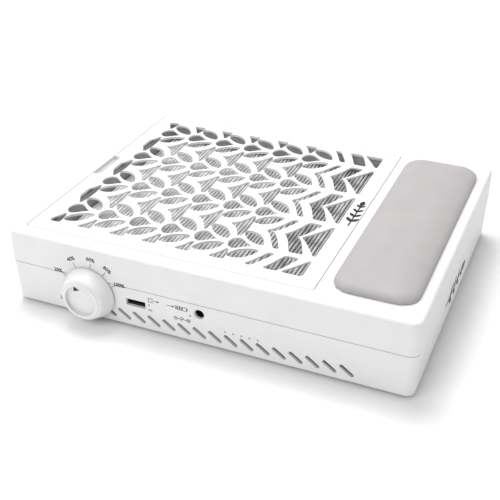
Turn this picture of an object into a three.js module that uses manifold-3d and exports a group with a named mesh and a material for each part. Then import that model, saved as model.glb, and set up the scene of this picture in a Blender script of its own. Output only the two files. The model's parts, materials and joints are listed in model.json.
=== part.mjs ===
// Table-top nail dust collector, rechargeable, with a padded hand rest.
//
// Units are millimetres and +Z is up. Inside this file the casing is drawn about its own
// middle: X runs towards the hand rest, Y towards the back, and Z is 0 at the underside of
// the casing. The group is then moved so that the origin is at the middle of the whole
// object, on the surface that the rubber feet stand on.

import * as THREE from 'three';
import { mergeVertices } from 'three/addons/utils/BufferGeometryUtils.js';
import Module from 'manifold-3d';

// ---------- driving dimensions ----------

// casing
const CASE_WIDTH = 300;
const CASE_DEPTH = 234;
const CASE_HEIGHT = 56.7;
const PARTING_HEIGHT = 31.9;
const CORNER_RADIUS = 7.4;
const TOP_ROUNDING = 2.4;
const LOWER_TAPER = 1.2;
const WALL = 2.5;
const GAP = 0.3;
const FOOT_HEIGHT = 3;

// grille cover, its window, and the well under it
const COVER = { left: -140.5, right: 76.5, front: -105, back: 108 };
const COVER_THICKNESS = 3;
const WINDOW = { left: -128.5, right: 63.5, front: -92, back: 98 };
const WELL = { left: -132.5, right: 69, front: -97.5, back: 103.5 };
const LEDGE_THICKNESS = 3;
const SEAT_WIDTH = 10;
const SEAT_HEIGHT = 28;
const NOTCH = { left: -140.8, right: -134.8, front: -15, back: 19, depth: 9 };

// leaf pattern of the grille
const LEAF_PITCH = 25.8;
const STEM_PITCH = 48.8;
const LEAF_COLUMN = -112;
const STEM_ROW = -70;
const LEAF_COLUMNS = 6;
const STEM_ROWS = 4;

// filter
const PLEAT_TOP = 41.7;
const PLEAT_DEPTH = 7.6;
const PLEAT_PITCH = 3.5;
const PAPER = 0.6;
const CASSETTE_WALL = 3;
const CASSETTE_TOP = 52.9;
const GASKET = 2;

// fan and motor
const FAN = { x: -32.5, y: 3 };
const FAN_RADIUS = 62;
const FAN_BLADES = 9;
const DECK_TOP = 27.7;
const DECK_THICKNESS = 2.5;
const INLET_RADIUS = 46;
const INLET_LIP = 0.8;
const MOTOR_PAD = { radius: 31, top: 6.5 };
const MOTOR_PLATE = { radius: 30, thickness: 1.5 };
const SHAFT_RADIUS = 1.5;
const BEARING = { radius: 3.6, height: 3, tubeRadius: 5 };
const CUP = { radius: 22, top: 22.5, wall: 1.2 };
const MAGNET = { inner: 18.4, outer: 20.4 };
const STATOR = { poles: 9, core: 9, arm: 3.6, shoeInner: 15, shoeOuter: 17.2, shoeWidth: 8.8, height: 8 };
const BLADE = { thickness: 1.5, sweep: 0.75, top: 22.3 };
const DISC_THICKNESS = 1.5;

// front wall
const DIAL = { x: -84.5, z: 20.5, radius: 20, faceRadius: 16, length: 12, dish: 13.5, dishDepth: 1.8 };
const DIAL_GAP = 0.6;
const DIAL_SHAFT = { radius: 3, length: 13 };
const BUSHING_RADIUS = 4.2;
const POTENTIOMETER = { halfWidth: 8.5, depth: 9 };
const NUT = { radius: 6.4, thickness: 1.8 };
const USB = { x: -48, z: 20, width: 14.6, height: 5.1 };
const INLET_JACK = { x: 0.7, z: 24.2, radius: 3.6 };
const LIGHTS = { count: 5, first: 19.5, pitch: 5.9, z: 14.8, radius: 0.6 };
const SLOTS = { count: 16, first: -73.3, pitch: 11.63, top: 11, bottom: 5.6, run: 7.2, width: 2.3 };
const BOARD = { left: -64, right: 58, front: -112, back: -86, top: 16.9, thickness: 1.6 };
const CHIP = { left: -28, right: -18, front: -98, back: -88, height: 1.2 };
const COIL = { left: 18, right: 30, front: -100, back: -88, height: 5 };
const CAPACITORS = [{ x: 38, y: -98, radius: 4, height: 7 }, { x: -14, y: -95, radius: 3.2, height: 6.5 }];
const USB_CAN = { halfWidth: 7, depth: 14, wall: 0.45 };
const JACK_BODY = { halfWidth: 4.7, depth: 12, rise: 5.5, bore: 3.1, pin: 1 };

// hand rest
const REST = { left: 84, right: 142.5, front: -101.5, back: 101.5, corner: 10 };
const REST_BASE = 2.2;
const REST_HEIGHT = 9.4;
const REST_POST = { radius: 3, fromEnd: 22 };
const REST_WRAP = 1.6;
const PAD_ROLL = 9.5;

// battery
const CELL_RADIUS = 9.2;
const CELL_LENGTH = 65.2;
const CELL_PITCH = 19.2;
const BATTERY = { x: 114, y: 1, floor: 2, wall: 1.6 };
const BATTERY_BOARD = { halfWidth: 22, halfLength: 12, thickness: 1.2 };

// feet and fasteners
const FEET = { x: 128, y: 95, radius: 6 };
const FOOT_RECESS = 1;
const CASE_SCREWS = { x: 141.5, y: 108.5, recess: 3.3, seat: 2.9, length: 37, bossRadius: 4.2 };
const PLATE_PAD = { radius: 4.5, top: 4.5 };
const RIB = { width: 1.6, reach: 7 };
const CASE_POST = 5;
const DECK_SCREWS = { x: 82.5, y: 82, length: 13, postRadius: 4.5 };
const MOTOR_SCREW_CIRCLE = 25;
const SMALL_SHANK = 1;
const LEAD_RADIUS = 1.2;

// how far a cutter or an overlap runs past the face it meets
const OVERRUN = 1;

const FRONT = -CASE_DEPTH / 2;

// ---------- materials ----------

function plastic(color, roughness) {
  return new THREE.MeshStandardMaterial({ color, roughness, metalness: 0 });
}

function metal(color, roughness) {
  return new THREE.MeshStandardMaterial({ color, roughness, metalness: 1 });
}

const housingWhite = plastic(0xf4f4f4, 0.35);
const grilleWhite = plastic(0xf7f7f7, 0.4);
const padGrey = plastic(0xcdc9ca, 0.75);
const frameGrey = plastic(0x515356, 0.55);
const filterPaper = plastic(0xd9d9d6, 0.95);
const foamGrey = plastic(0x6d6f72, 0.95);
const fanGrey = plastic(0x3b3e42, 0.5);
const boardGreen = plastic(0x1f5a3a, 0.6);
const socketBlack = plastic(0x151617, 0.45);
const lightClear = plastic(0xe8f2ee, 0.2);
const rubberGrey = plastic(0x5a5c5e, 0.9);
const cellSleeve = plastic(0x2f62a8, 0.4);
const leadBlack = plastic(0x1c1c1e, 0.6);
const steel = metal(0xb9bcc0, 0.3);
const laminate = metal(0x7c7f83, 0.5);
const magnetDark = metal(0x4a4b4e, 0.6);

// ---------- solids ----------

const wasm = await Module();
wasm.setup();

// a closed manifold from any three.js geometry
function solid(geometry) {
  const plain = (geometry.index ? geometry.toNonIndexed() : geometry).clone();
  for (const name of Object.keys(plain.attributes)) {
    if (name !== 'position') plain.deleteAttribute(name);
  }
  const merged = mergeVertices(plain, 1e-4);
  return new wasm.Manifold(new wasm.Mesh({
    numProp: 3,
    vertProperties: new Float32Array(merged.attributes.position.array),
    triVerts: new Uint32Array(merged.index.array),
  }));
}

function geometryOf(manifold) {
  const mesh = manifold.getMesh();
  const geometry = new THREE.BufferGeometry();
  geometry.setAttribute('position', new THREE.BufferAttribute(mesh.vertProperties, 3));
  geometry.setIndex(new THREE.BufferAttribute(mesh.triVerts, 1));
  geometry.computeVertexNormals();
  return geometry;
}

function joined(pieces) {
  return pieces.reduce((whole, piece) => whole.add(piece));
}

function cut(whole, pieces) {
  return pieces.reduce((rest, piece) => rest.subtract(piece), whole);
}

function box(x0, x1, y0, y1, z0, z1) {
  const geometry = new THREE.BoxGeometry(x1 - x0, y1 - y0, z1 - z0);
  geometry.translate((x0 + x1) / 2, (y0 + y1) / 2, (z0 + z1) / 2);
  return solid(geometry);
}

// an upright cylinder about (x, y)
function post(x, y, radius, z0, z1, sides = 20) {
  const geometry = new THREE.CylinderGeometry(radius, radius, z1 - z0, sides);
  geometry.rotateX(Math.PI / 2);
  geometry.translate(x, y, (z0 + z1) / 2);
  return solid(geometry);
}

// a cylinder along Y about (x, z)
function barrel(x, z, radius, y0, y1, sides = 20) {
  const geometry = new THREE.CylinderGeometry(radius, radius, y1 - y0, sides);
  geometry.translate(x, (y0 + y1) / 2, z);
  return solid(geometry);
}

function prism(outline, z0, z1, curveSegments = 3) {
  const geometry = new THREE.ExtrudeGeometry(outline, { depth: z1 - z0, bevelEnabled: false, curveSegments });
  geometry.translate(0, 0, z0);
  return solid(geometry);
}

// a prism whose two rims are drawn in by `inset` over the height `rise`
function softPrism(outline, z0, z1, inset, rise, bevelSegments, curveSegments = 3) {
  const geometry = new THREE.ExtrudeGeometry(outline, {
    depth: z1 - z0 - 2 * rise,
    bevelEnabled: true,
    bevelSize: inset,
    bevelOffset: -inset,
    bevelThickness: rise,
    bevelSegments,
    curveSegments,
  });
  geometry.translate(0, 0, z0 + rise);
  return solid(geometry);
}

function roundedRectangle(x0, x1, y0, y1, radius) {
  const outline = new THREE.Shape();
  outline.moveTo(x0 + radius, y0);
  outline.lineTo(x1 - radius, y0);
  outline.absarc(x1 - radius, y0 + radius, radius, -Math.PI / 2, 0);
  outline.lineTo(x1, y1 - radius);
  outline.absarc(x1 - radius, y1 - radius, radius, 0, Math.PI / 2);
  outline.lineTo(x0 + radius, y1);
  outline.absarc(x0 + radius, y1 - radius, radius, Math.PI / 2, Math.PI);
  outline.lineTo(x0, y0 + radius);
  outline.absarc(x0 + radius, y0 + radius, radius, Math.PI, 1.5 * Math.PI);
  return outline;
}

function caseOutline(inset) {
  const halfWidth = CASE_WIDTH / 2 - inset;
  const halfDepth = CASE_DEPTH / 2 - inset;
  return roundedRectangle(-halfWidth, halfWidth, -halfDepth, halfDepth, CORNER_RADIUS - inset);
}

// a rectangle such as the cover's or the well's, made larger by `margin` all round
function frameOutline(rectangle, margin, corner) {
  return roundedRectangle(
    rectangle.left - margin,
    rectangle.right + margin,
    rectangle.front - margin,
    rectangle.back + margin,
    corner,
  );
}

// a solid of revolution about Z from [radius, height] pairs
function turned(profile, sides) {
  const points = profile.map(([radius, height]) => new THREE.Vector2(radius, height));
  points.push(points[0].clone());
  const geometry = new THREE.LatheGeometry(points, sides);
  geometry.rotateX(Math.PI / 2);
  return solid(geometry);
}

const fourCorners = [[-1, -1], [1, -1], [1, 1], [-1, 1]];

// ---------- assembly ----------

const object = new THREE.Group();
object.position.set(0, (DIAL.length + DIAL_GAP) / 2, FOOT_HEIGHT);

function add(name, manifold, material, parent = object) {
  const mesh = new THREE.Mesh(geometryOf(manifold), material.clone());
  mesh.name = name;
  parent.add(mesh);
  return mesh;
}

// ---------- top shell ----------

const ledgeTop = CASE_HEIGHT - COVER_THICKNESS - GAP;

function topShell() {
  const outer = softPrism(caseOutline(0), 0, CASE_HEIGHT, TOP_ROUNDING, TOP_ROUNDING, 3, 3);
  const lowerHalf = box(-CASE_WIDTH, CASE_WIDTH, -CASE_DEPTH, CASE_DEPTH, -10, PARTING_HEIGHT + GAP / 2);
  const hollow = prism(caseOutline(WALL), -10, CASE_HEIGHT - WALL, 3);
  const shell = outer.subtract(lowerHalf).subtract(hollow);

  const wellTube = prism(frameOutline(WELL, 2, 2), SEAT_HEIGHT, ledgeTop - 1, 1);
  const ledge = prism(frameOutline(COVER, 2.5, 3), ledgeTop - LEDGE_THICKNESS, CASE_HEIGHT - 1, 1);
  const pocket = box(NOTCH.left - 2.5, NOTCH.right + 1, NOTCH.front - 2, NOTCH.back + 2,
    CASE_HEIGHT - NOTCH.depth - 2, ledgeTop - 1);
  const bosses = fourCorners.map(([sx, sy]) => (
    post(sx * CASE_SCREWS.x, sy * CASE_SCREWS.y, CASE_SCREWS.bossRadius,
      PARTING_HEIGHT - 1.6, CASE_HEIGHT - WALL + OVERRUN, 12)
  ));
  const body = joined([shell, wellTube, ledge, pocket, ...bosses]);

  const coverOpening = prism(frameOutline(COVER, GAP, 2.5), ledgeTop, CASE_HEIGHT + 5, 2);
  const wellOpening = prism(frameOutline(WELL, 0, 1.5), SEAT_HEIGHT + 2, CASE_HEIGHT, 1);
  const seatOpening = prism(frameOutline(WELL, -SEAT_WIDTH, 1.5), 0, CASE_HEIGHT, 1);
  const fingerPocket = box(NOTCH.left, NOTCH.right, NOTCH.front, NOTCH.back,
    CASE_HEIGHT - NOTCH.depth, CASE_HEIGHT);
  const screwBores = fourCorners.map(([sx, sy]) => (
    post(sx * CASE_SCREWS.x, sy * CASE_SCREWS.y, SHAFT_RADIUS + GAP, 0, PARTING_HEIGHT + 10, 10)
  ));
  const restSockets = restPosts().map(([x, y]) => (
    post(x, y, REST_POST.radius + GAP, CASE_HEIGHT - WALL - OVERRUN, CASE_HEIGHT + OVERRUN, 10)
  ));
  return cut(body, [coverOpening, wellOpening, seatOpening, fingerPocket, ...screwBores, ...restSockets]);
}

// places of the posts that hold the hand-rest base in the top shell
function restPosts() {
  const x = (REST.left + REST.right) / 2;
  const y = REST.back - REST_POST.fromEnd;
  return [[x, -y], [x, y]];
}

// ---------- bottom shell ----------

function wallSlots(side) {
  const slots = [];
  for (let i = 0; i < SLOTS.count; i += 1) {
    const x = SLOTS.first + i * SLOTS.pitch;
    const slope = Math.atan2(SLOTS.bottom - SLOTS.top, SLOTS.run);
    const length = Math.hypot(SLOTS.run, SLOTS.top - SLOTS.bottom);
    const geometry = new THREE.BoxGeometry(length, 4 * WALL, SLOTS.width);
    geometry.rotateY(-slope);
    geometry.translate(x + SLOTS.run / 2, side * CASE_DEPTH / 2, (SLOTS.top + SLOTS.bottom) / 2);
    slots.push(solid(geometry));
  }
  return slots;
}

// the lower walls, with a post in each corner that two ribs tie to them
function bottomShell() {
  const height = PARTING_HEIGHT - GAP / 2;
  const roof = box(-CASE_WIDTH, CASE_WIDTH, -CASE_DEPTH, CASE_DEPTH, height, 3 * height);
  const outer = softPrism(caseOutline(0), 0, 2 * height + 2, LOWER_TAPER, height, 1, 3).subtract(roof);
  const hollow = softPrism(caseOutline(WALL), -OVERRUN, 2 * height + 3, LOWER_TAPER, height, 1, 3);
  const low = PLATE_PAD.top + GAP;
  const high = PARTING_HEIGHT - 1.9;
  const supports = fourCorners.flatMap(([sx, sy]) => {
    const { x, y } = CASE_SCREWS;
    return [
      post(sx * x, sy * y, CASE_POST, low, high, 10),
      mirroredBox(sx, sy, x, x + RIB.reach, y - RIB.width / 2, y + RIB.width / 2, low, high),
      mirroredBox(sx, sy, x - RIB.width / 2, x + RIB.width / 2, y, y + RIB.reach, low, high),
    ];
  });
  const walls = joined([outer.subtract(hollow), ...supports]);

  const caseBores = fourCorners.map(([sx, sy]) => (
    post(sx * CASE_SCREWS.x, sy * CASE_SCREWS.y, SHAFT_RADIUS + GAP, -OVERRUN, PARTING_HEIGHT, 10)
  ));
  const usbHole = box(USB.x - USB.width / 2, USB.x + USB.width / 2, FRONT - 5, FRONT + 2 * WALL,
    USB.z - USB.height / 2, USB.z + USB.height / 2);
  const jackHole = barrel(INLET_JACK.x, INLET_JACK.z, INLET_JACK.radius, FRONT - 5, FRONT + 2 * WALL, 16);
  const dialHole = barrel(DIAL.x, DIAL.z, BUSHING_RADIUS + GAP, FRONT - 5, FRONT + 2 * WALL, 16);
  const lightHoles = lightPlaces().map((x) => (
    barrel(x, LIGHTS.z, LIGHTS.radius + GAP, FRONT - 5, FRONT + 2 * WALL, 6)
  ));
  return cut(walls, [
    ...caseBores, usbHole, jackHole, dialHole, ...lightHoles, ...wallSlots(-1), ...wallSlots(1),
  ]);
}

// a box drawn in the right back corner, mirrored into the corner that sx and sy name
function mirroredBox(sx, sy, x0, x1, y0, y1, z0, z1) {
  const [left, right] = [sx * x0, sx * x1].sort((a, b) => a - b);
  const [front, back] = [sy * y0, sy * y1].sort((a, b) => a - b);
  return box(left, right, front, back, z0, z1);
}

// ---------- base plate ----------

// the floor inside the lower walls, with the posts that carry the fan, the motor and the board
function basePlate() {
  const plate = prism(caseOutline(WALL + LOWER_TAPER + GAP), 0, WALL, 3);
  const screwPads = fourCorners.map(([sx, sy]) => (
    post(sx * CASE_SCREWS.x, sy * CASE_SCREWS.y, PLATE_PAD.radius, OVERRUN, PLATE_PAD.top, 12)
  ));
  const deckPosts = fourCorners.map(([sx, sy]) => (
    post(FAN.x + sx * DECK_SCREWS.x, FAN.y + sy * DECK_SCREWS.y, DECK_SCREWS.postRadius,
      OVERRUN, DECK_TOP - DECK_THICKNESS - GAP, 8)
  ));
  const boardPosts = boardScrewPlaces().map(([x, y]) => (
    post(x, y, 3.5, OVERRUN, BOARD.top - BOARD.thickness - GAP, 8)
  ));
  const motorPad = post(FAN.x, FAN.y, MOTOR_PAD.radius, OVERRUN, MOTOR_PAD.top, 20);
  const body = joined([plate, ...screwPads, ...deckPosts, ...boardPosts, motorPad]);

  const caseBores = fourCorners.flatMap(([sx, sy]) => [
    post(sx * CASE_SCREWS.x, sy * CASE_SCREWS.y, SHAFT_RADIUS + GAP, -OVERRUN, PARTING_HEIGHT, 10),
    post(sx * CASE_SCREWS.x, sy * CASE_SCREWS.y, CASE_SCREWS.recess, -OVERRUN, CASE_SCREWS.seat, 12),
  ]);
  const deckBores = fourCorners.map(([sx, sy]) => (
    post(FAN.x + sx * DECK_SCREWS.x, FAN.y + sy * DECK_SCREWS.y, SHAFT_RADIUS + GAP, 12, DECK_TOP, 8)
  ));
  const boardBores = boardScrewPlaces().map(([x, y]) => post(x, y, SMALL_SHANK + GAP, 6, BOARD.top, 8));
  const motorBores = motorScrewPlaces().map(([x, y]) => (
    post(x, y, SMALL_SHANK + GAP, 2.4, MOTOR_PAD.top + OVERRUN, 8)
  ));
  const footRecesses = fourCorners.map(([sx, sy]) => (
    post(sx * FEET.x, sy * FEET.y, FEET.radius + GAP, -OVERRUN, FOOT_RECESS, 14)
  ));
  return cut(body, [...caseBores, ...deckBores, ...boardBores, ...motorBores, ...footRecesses]);
}

function boardScrewPlaces() {
  return [[BOARD.left + 6, BOARD.back - 6], [BOARD.right - 6, BOARD.back - 6]];
}

function motorScrewPlaces() {
  return [0, 1, 2].map((i) => {
    const angle = Math.PI / 2 + i * 2 * Math.PI / 3;
    return [FAN.x + MOTOR_SCREW_CIRCLE * Math.cos(angle), FAN.y + MOTOR_SCREW_CIRCLE * Math.sin(angle)];
  });
}

function lightPlaces() {
  return Array.from({ length: LIGHTS.count }, (_, i) => LIGHTS.first + i * LIGHTS.pitch);
}

// ---------- grille cover ----------

// Each opening is drawn about a leaf column (x) and, for its height, either a stem or the
// middle line between two stems. `flip` of -1 mirrors it top to bottom.

function leafOpening(x, stem, flip) {
  const at = (dx, dy) => [x + dx, stem + flip * dy];
  const outline = new THREE.Shape();
  outline.moveTo(...at(-8.8, 17.6));
  outline.bezierCurveTo(...at(-1, 21), ...at(8.6, 12.5), ...at(9, 3.6));
  outline.bezierCurveTo(...at(-0.5, 2.6), ...at(-9.6, 11.5), ...at(-8.8, 17.6));
  return outline;
}

function petalOpening(x, stem) {
  const outline = new THREE.Shape();
  outline.moveTo(x + 1.5, stem);
  outline.bezierCurveTo(x - 3, stem + 1, x - 5, stem + 5.5, x - 9, stem + 6.6);
  outline.bezierCurveTo(x - 15.6, stem + 5.5, x - 15.6, stem - 5.5, x - 9, stem - 6.6);
  outline.bezierCurveTo(x - 5, stem - 5.5, x - 3, stem - 1, x + 1.5, stem);
  return outline;
}

function budOpening(x, middle) {
  const outline = new THREE.Shape();
  outline.moveTo(x + 2.5, middle);
  outline.bezierCurveTo(x + 7, middle + 1.5, x + 11, middle + 7, x + 14.2, middle + 15);
  outline.bezierCurveTo(x + 16.6, middle + 6, x + 16.6, middle - 6, x + 14.2, middle - 15);
  outline.bezierCurveTo(x + 11, middle - 7, x + 7, middle - 1.5, x + 2.5, middle);
  return outline;
}

// an open V that points left, between a curve from `tip` and one from `inner`
function chevronOpening(tip, inner, middle, reach, height) {
  const outline = new THREE.Shape();
  outline.moveTo(tip, middle);
  outline.bezierCurveTo(tip + 0.4 * reach, middle + 3.5, tip + 0.65 * reach, middle + 12,
    tip + reach, middle + height);
  outline.lineTo(inner + reach, middle + height);
  outline.bezierCurveTo(inner + 0.65 * reach, middle + 12, inner + 0.4 * reach, middle + 3.5, inner, middle);
  outline.bezierCurveTo(inner + 0.4 * reach, middle - 3.5, inner + 0.65 * reach, middle - 12,
    inner + reach, middle - height);
  outline.lineTo(tip + reach, middle - height);
  outline.bezierCurveTo(tip + 0.65 * reach, middle - 12, tip + 0.4 * reach, middle - 3.5, tip, middle);
  return outline;
}

function arrowOpening(tip, middle, reach, height) {
  const outline = new THREE.Shape();
  outline.moveTo(tip, middle);
  outline.bezierCurveTo(tip + 0.35 * reach, middle + 5, tip + 0.7 * reach, middle + 14,
    tip + reach, middle + height);
  outline.lineTo(tip + 2 * reach, middle + height);
  outline.lineTo(tip + 2 * reach, middle - height);
  outline.lineTo(tip + reach, middle - height);
  outline.bezierCurveTo(tip + 0.7 * reach, middle - 14, tip + 0.35 * reach, middle - 5, tip, middle);
  return outline;
}

function patternOpenings() {
  const openings = [];
  for (let row = 0; row < STEM_ROWS; row += 1) {
    const stem = STEM_ROW + row * STEM_PITCH;
    for (let column = 0; column < LEAF_COLUMNS; column += 1) {
      const x = LEAF_COLUMN + column * LEAF_PITCH;
      openings.push({ outline: leafOpening(x, stem, 1), segments: 3 });
      openings.push({ outline: leafOpening(x, stem, -1), segments: 3 });
      openings.push({ outline: petalOpening(x, stem), segments: 2 });
    }
  }
  for (let row = 0; row <= STEM_ROWS; row += 1) {
    const middle = STEM_ROW + (row - 0.5) * STEM_PITCH;
    for (let column = -1; column < LEAF_COLUMNS - 1; column += 1) {
      openings.push({ outline: budOpening(LEAF_COLUMN + column * LEAF_PITCH, middle), segments: 3 });
    }
    openings.push({ outline: chevronOpening(21.5, 24.4, middle, 12.5, 20.5), segments: 3 });
    openings.push({ outline: chevronOpening(35, 43.3, middle, 11, 21), segments: 3 });
    openings.push({ outline: arrowOpening(48, middle, 15.6, 21), segments: 3 });
  }
  return openings;
}

function grilleCover() {
  const underside = CASE_HEIGHT - COVER_THICKNESS;
  const panel = softPrism(frameOutline(COVER, 0, 2.2), underside, CASE_HEIGHT, 0.4, 0.4, 1, 2);
  const window = box(WINDOW.left, WINDOW.right, WINDOW.front, WINDOW.back, underside - 1, CASE_HEIGHT + 1);
  const openings = patternOpenings().map(({ outline, segments }) => (
    prism(outline, underside - 0.5, CASE_HEIGHT + 0.5, segments).intersect(window)
  ));
  const notch = prism(
    roundedRectangle(COVER.left - 5, NOTCH.right, NOTCH.front, NOTCH.back, 4),
    underside - 1,
    CASE_HEIGHT + 1,
    3,
  );
  return cut(panel, [wasm.Manifold.union(openings), notch]);
}

// ---------- filter ----------

const cassetteFloor = SEAT_HEIGHT + 2 + GAP + GASKET + GAP;

function filterFrame() {
  const outer = prism(frameOutline(WELL, -2 * GAP, 1.2), cassetteFloor, CASSETTE_TOP, 1);
  const opening = prism(frameOutline(WELL, -2 * GAP - CASSETTE_WALL, 1), cassetteFloor + 1.2,
    CASSETTE_TOP + OVERRUN, 1);
  const mouth = prism(frameOutline(WELL, -SEAT_WIDTH, 1), 0, CASSETTE_TOP, 1);
  return cut(outer, [opening, mouth]);
}

// one folded sheet of paper, seen from the front as a zigzag, with its folds along Y
function filterMedia() {
  const margin = 3 * GAP + CASSETTE_WALL;
  const left = WELL.left + margin;
  const folds = 2 * Math.floor((WELL.right - WELL.left - 2 * margin) / PLEAT_PITCH);
  const step = (WELL.right - WELL.left - 2 * margin) / folds;
  const low = PLEAT_TOP - PLEAT_DEPTH;
  const outline = new THREE.Shape();
  outline.moveTo(left, low);
  for (let i = 1; i <= folds; i += 1) {
    outline.lineTo(left + i * step, i % 2 ? PLEAT_TOP - PAPER : low);
  }
  for (let i = folds; i >= 0; i -= 1) {
    outline.lineTo(left + i * step, (i % 2 ? PLEAT_TOP : low + PAPER));
  }
  const depth = WELL.back - WELL.front - 2 * margin;
  const geometry = new THREE.ExtrudeGeometry(outline, { depth, bevelEnabled: false });
  geometry.rotateX(Math.PI / 2);
  geometry.translate(0, WELL.back - margin, 0);
  return solid(geometry);
}

function filterGasket() {
  const low = SEAT_HEIGHT + 2 + GAP;
  const outer = prism(frameOutline(WELL, -1, 1), low, low + GASKET, 1);
  return outer.subtract(prism(frameOutline(WELL, -SEAT_WIDTH + 1, 1), 0, CASE_HEIGHT, 1));
}

// ---------- fan ----------

function fanDeck() {
  const under = DECK_TOP - DECK_THICKNESS;
  const plate = prism(frameOutline(WELL, 1.5, 3), under, DECK_TOP, 1);
  const lip = post(FAN.x, FAN.y, INLET_RADIUS + 2, under + OVERRUN, DECK_TOP + INLET_LIP, 40);
  const inlet = post(FAN.x, FAN.y, INLET_RADIUS, 0, CASE_HEIGHT, 40);
  const bores = fourCorners.map(([sx, sy]) => (
    post(FAN.x + sx * DECK_SCREWS.x, FAN.y + sy * DECK_SCREWS.y, SHAFT_RADIUS + GAP, 0, CASE_HEIGHT, 10)
  ));
  return cut(plate.add(lip), [inlet, ...bores]);
}

const plateBottom = MOTOR_PAD.top + GAP;
const plateTop = plateBottom + MOTOR_PLATE.thickness;
const rotorBottom = plateTop + 2;
const upperBearingTop = CUP.top - 3.5;

// a backward-curved blade, one of FAN_BLADES round the hub
function bladeOutline(index) {
  const inner = CUP.radius + 4;
  const outer = FAN_RADIUS - 1;
  const start = index * 2 * Math.PI / FAN_BLADES;
  const steps = 3;
  const points = [];
  const along = (t, side) => {
    const radius = inner + (outer - inner) * t;
    const angle = start - BLADE.sweep * t * t + side * BLADE.thickness / 2 / radius;
    points.push(new THREE.Vector2(FAN.x + radius * Math.cos(angle), FAN.y + radius * Math.sin(angle)));
  };
  for (let i = 0; i <= steps; i += 1) along(i / steps, 1);
  for (let i = steps; i >= 0; i -= 1) along(i / steps, -1);
  return new THREE.Shape(points);
}

function impeller() {
  const disc = turned([
    [CUP.radius + GAP, rotorBottom],
    [FAN_RADIUS, rotorBottom],
    [FAN_RADIUS, rotorBottom + DISC_THICKNESS],
    [CUP.radius + 3, rotorBottom + DISC_THICKNESS],
    [CUP.radius + 2, CUP.top - 1],
    [CUP.radius + GAP, CUP.top - 1],
  ], 28).translate([FAN.x, FAN.y, 0]);
  const blades = Array.from({ length: FAN_BLADES }, (_, i) => (
    prism(bladeOutline(i), rotorBottom + DISC_THICKNESS / 2, BLADE.top)
  ));
  return joined([disc, ...blades]);
}

function rotorCup() {
  const { radius, top, wall } = CUP;
  const collar = top - 2.5;
  return turned([
    [SHAFT_RADIUS + GAP, top],
    [SHAFT_RADIUS + GAP, collar],
    [4, collar],
    [4, top - wall],
    [radius - wall, top - wall],
    [radius - wall, rotorBottom + 0.5],
    [radius, rotorBottom + 0.5],
    [radius, top],
  ], 18).translate([FAN.x, FAN.y, 0]);
}

function ring(inner, outer, z0, z1, sides) {
  return turned([[inner, z0], [outer, z0], [outer, z1], [inner, z1]], sides).translate([FAN.x, FAN.y, 0]);
}

// a plain bearing whose upper face is at `top`
function bearing(top) {
  return ring(SHAFT_RADIUS + GAP, BEARING.radius, top - BEARING.height, top, 12);
}

function motorBase() {
  const plate = post(FAN.x, FAN.y, MOTOR_PLATE.radius, plateBottom, plateTop, 24);
  const tube = post(FAN.x, FAN.y, BEARING.tubeRadius, plateBottom, upperBearingTop + GAP, 16);
  const bore = post(FAN.x, FAN.y, BEARING.radius + GAP, plateBottom + 0.6, CASE_HEIGHT, 12);
  const screwHoles = motorScrewPlaces().map(([x, y]) => post(x, y, SMALL_SHANK + GAP, 0, CASE_HEIGHT, 8));
  return cut(plate.add(tube), [bore, ...screwHoles]);
}

// wound poles round the bearing tube, each with a wider shoe at its end
function motorStator() {
  const { poles, core, arm: armWidth, shoeInner, shoeOuter, shoeWidth, height } = STATOR;
  const low = plateTop + 2.2;
  const hub = ring(BEARING.tubeRadius + GAP, core, low, low + height, 18);
  const arms = Array.from({ length: poles }, (_, i) => {
    const arm = box(core - 0.5, shoeInner + 0.5, -armWidth / 2, armWidth / 2, low, low + height);
    const shoe = box(shoeInner, shoeOuter, -shoeWidth / 2, shoeWidth / 2, low, low + height);
    return arm.add(shoe).rotate([0, 0, i * 360 / poles]).translate([FAN.x, FAN.y, 0]);
  });
  return joined([hub, ...arms]);
}

// ---------- electronics ----------

function controlBoard() {
  const bottom = BOARD.top - BOARD.thickness;
  const sunk = BOARD.top - 0.1;
  const plate = box(BOARD.left, BOARD.right, BOARD.front, BOARD.back, bottom, BOARD.top);
  const blocks = [CHIP, COIL].map(({ left, right, front, back, height }) => (
    box(left, right, front, back, sunk, BOARD.top + height)
  ));
  const cans = CAPACITORS.map(({ x, y, radius, height }) => post(x, y, radius, sunk, BOARD.top + height, 12));
  const lamps = lightPlaces().map((x) => (
    box(x - 1.2, x + 1.2, BOARD.front + 0.2, BOARD.front + 1.6, LIGHTS.z - 0.7, bottom + 0.1)
  ));
  const bores = boardScrewPlaces().map(([x, y]) => post(x, y, SMALL_SHANK + GAP, 0, CASE_HEIGHT, 8));
  return cut(joined([plate, ...blocks, ...cans, ...lamps]), bores);
}

// every socket's mouth stands just behind the tapered front wall
const socketMouth = FRONT + WALL + LOWER_TAPER + GAP;

function usbSocket() {
  const { halfWidth, depth, wall } = USB_CAN;
  const low = BOARD.top + GAP;
  const high = 2 * USB.z - low;
  const inside = halfWidth - wall;
  const can = box(USB.x - halfWidth, USB.x + halfWidth, socketMouth, socketMouth + depth, low, high);
  const mouth = box(USB.x - inside, USB.x + inside, socketMouth - OVERRUN, socketMouth + depth - 1.5,
    low + wall, high - wall);
  const tongue = box(USB.x - inside + 1, USB.x + inside - 1, socketMouth + 1.8, socketMouth + depth - 1,
    USB.z - 0.1, USB.z + 1.7);
  return can.subtract(mouth).add(tongue);
}

function chargingSocket() {
  const { halfWidth, depth, rise, bore, pin } = JACK_BODY;
  const { x, z } = INLET_JACK;
  const body = box(x - halfWidth, x + halfWidth, socketMouth, socketMouth + depth, BOARD.top + GAP, z + rise);
  const hole = barrel(x, z, bore, socketMouth - OVERRUN, socketMouth + depth - 2.5, 16);
  const contact = barrel(x, z, pin, socketMouth + 4, socketMouth + depth - 2, 10);
  return body.subtract(hole).add(contact);
}

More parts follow.
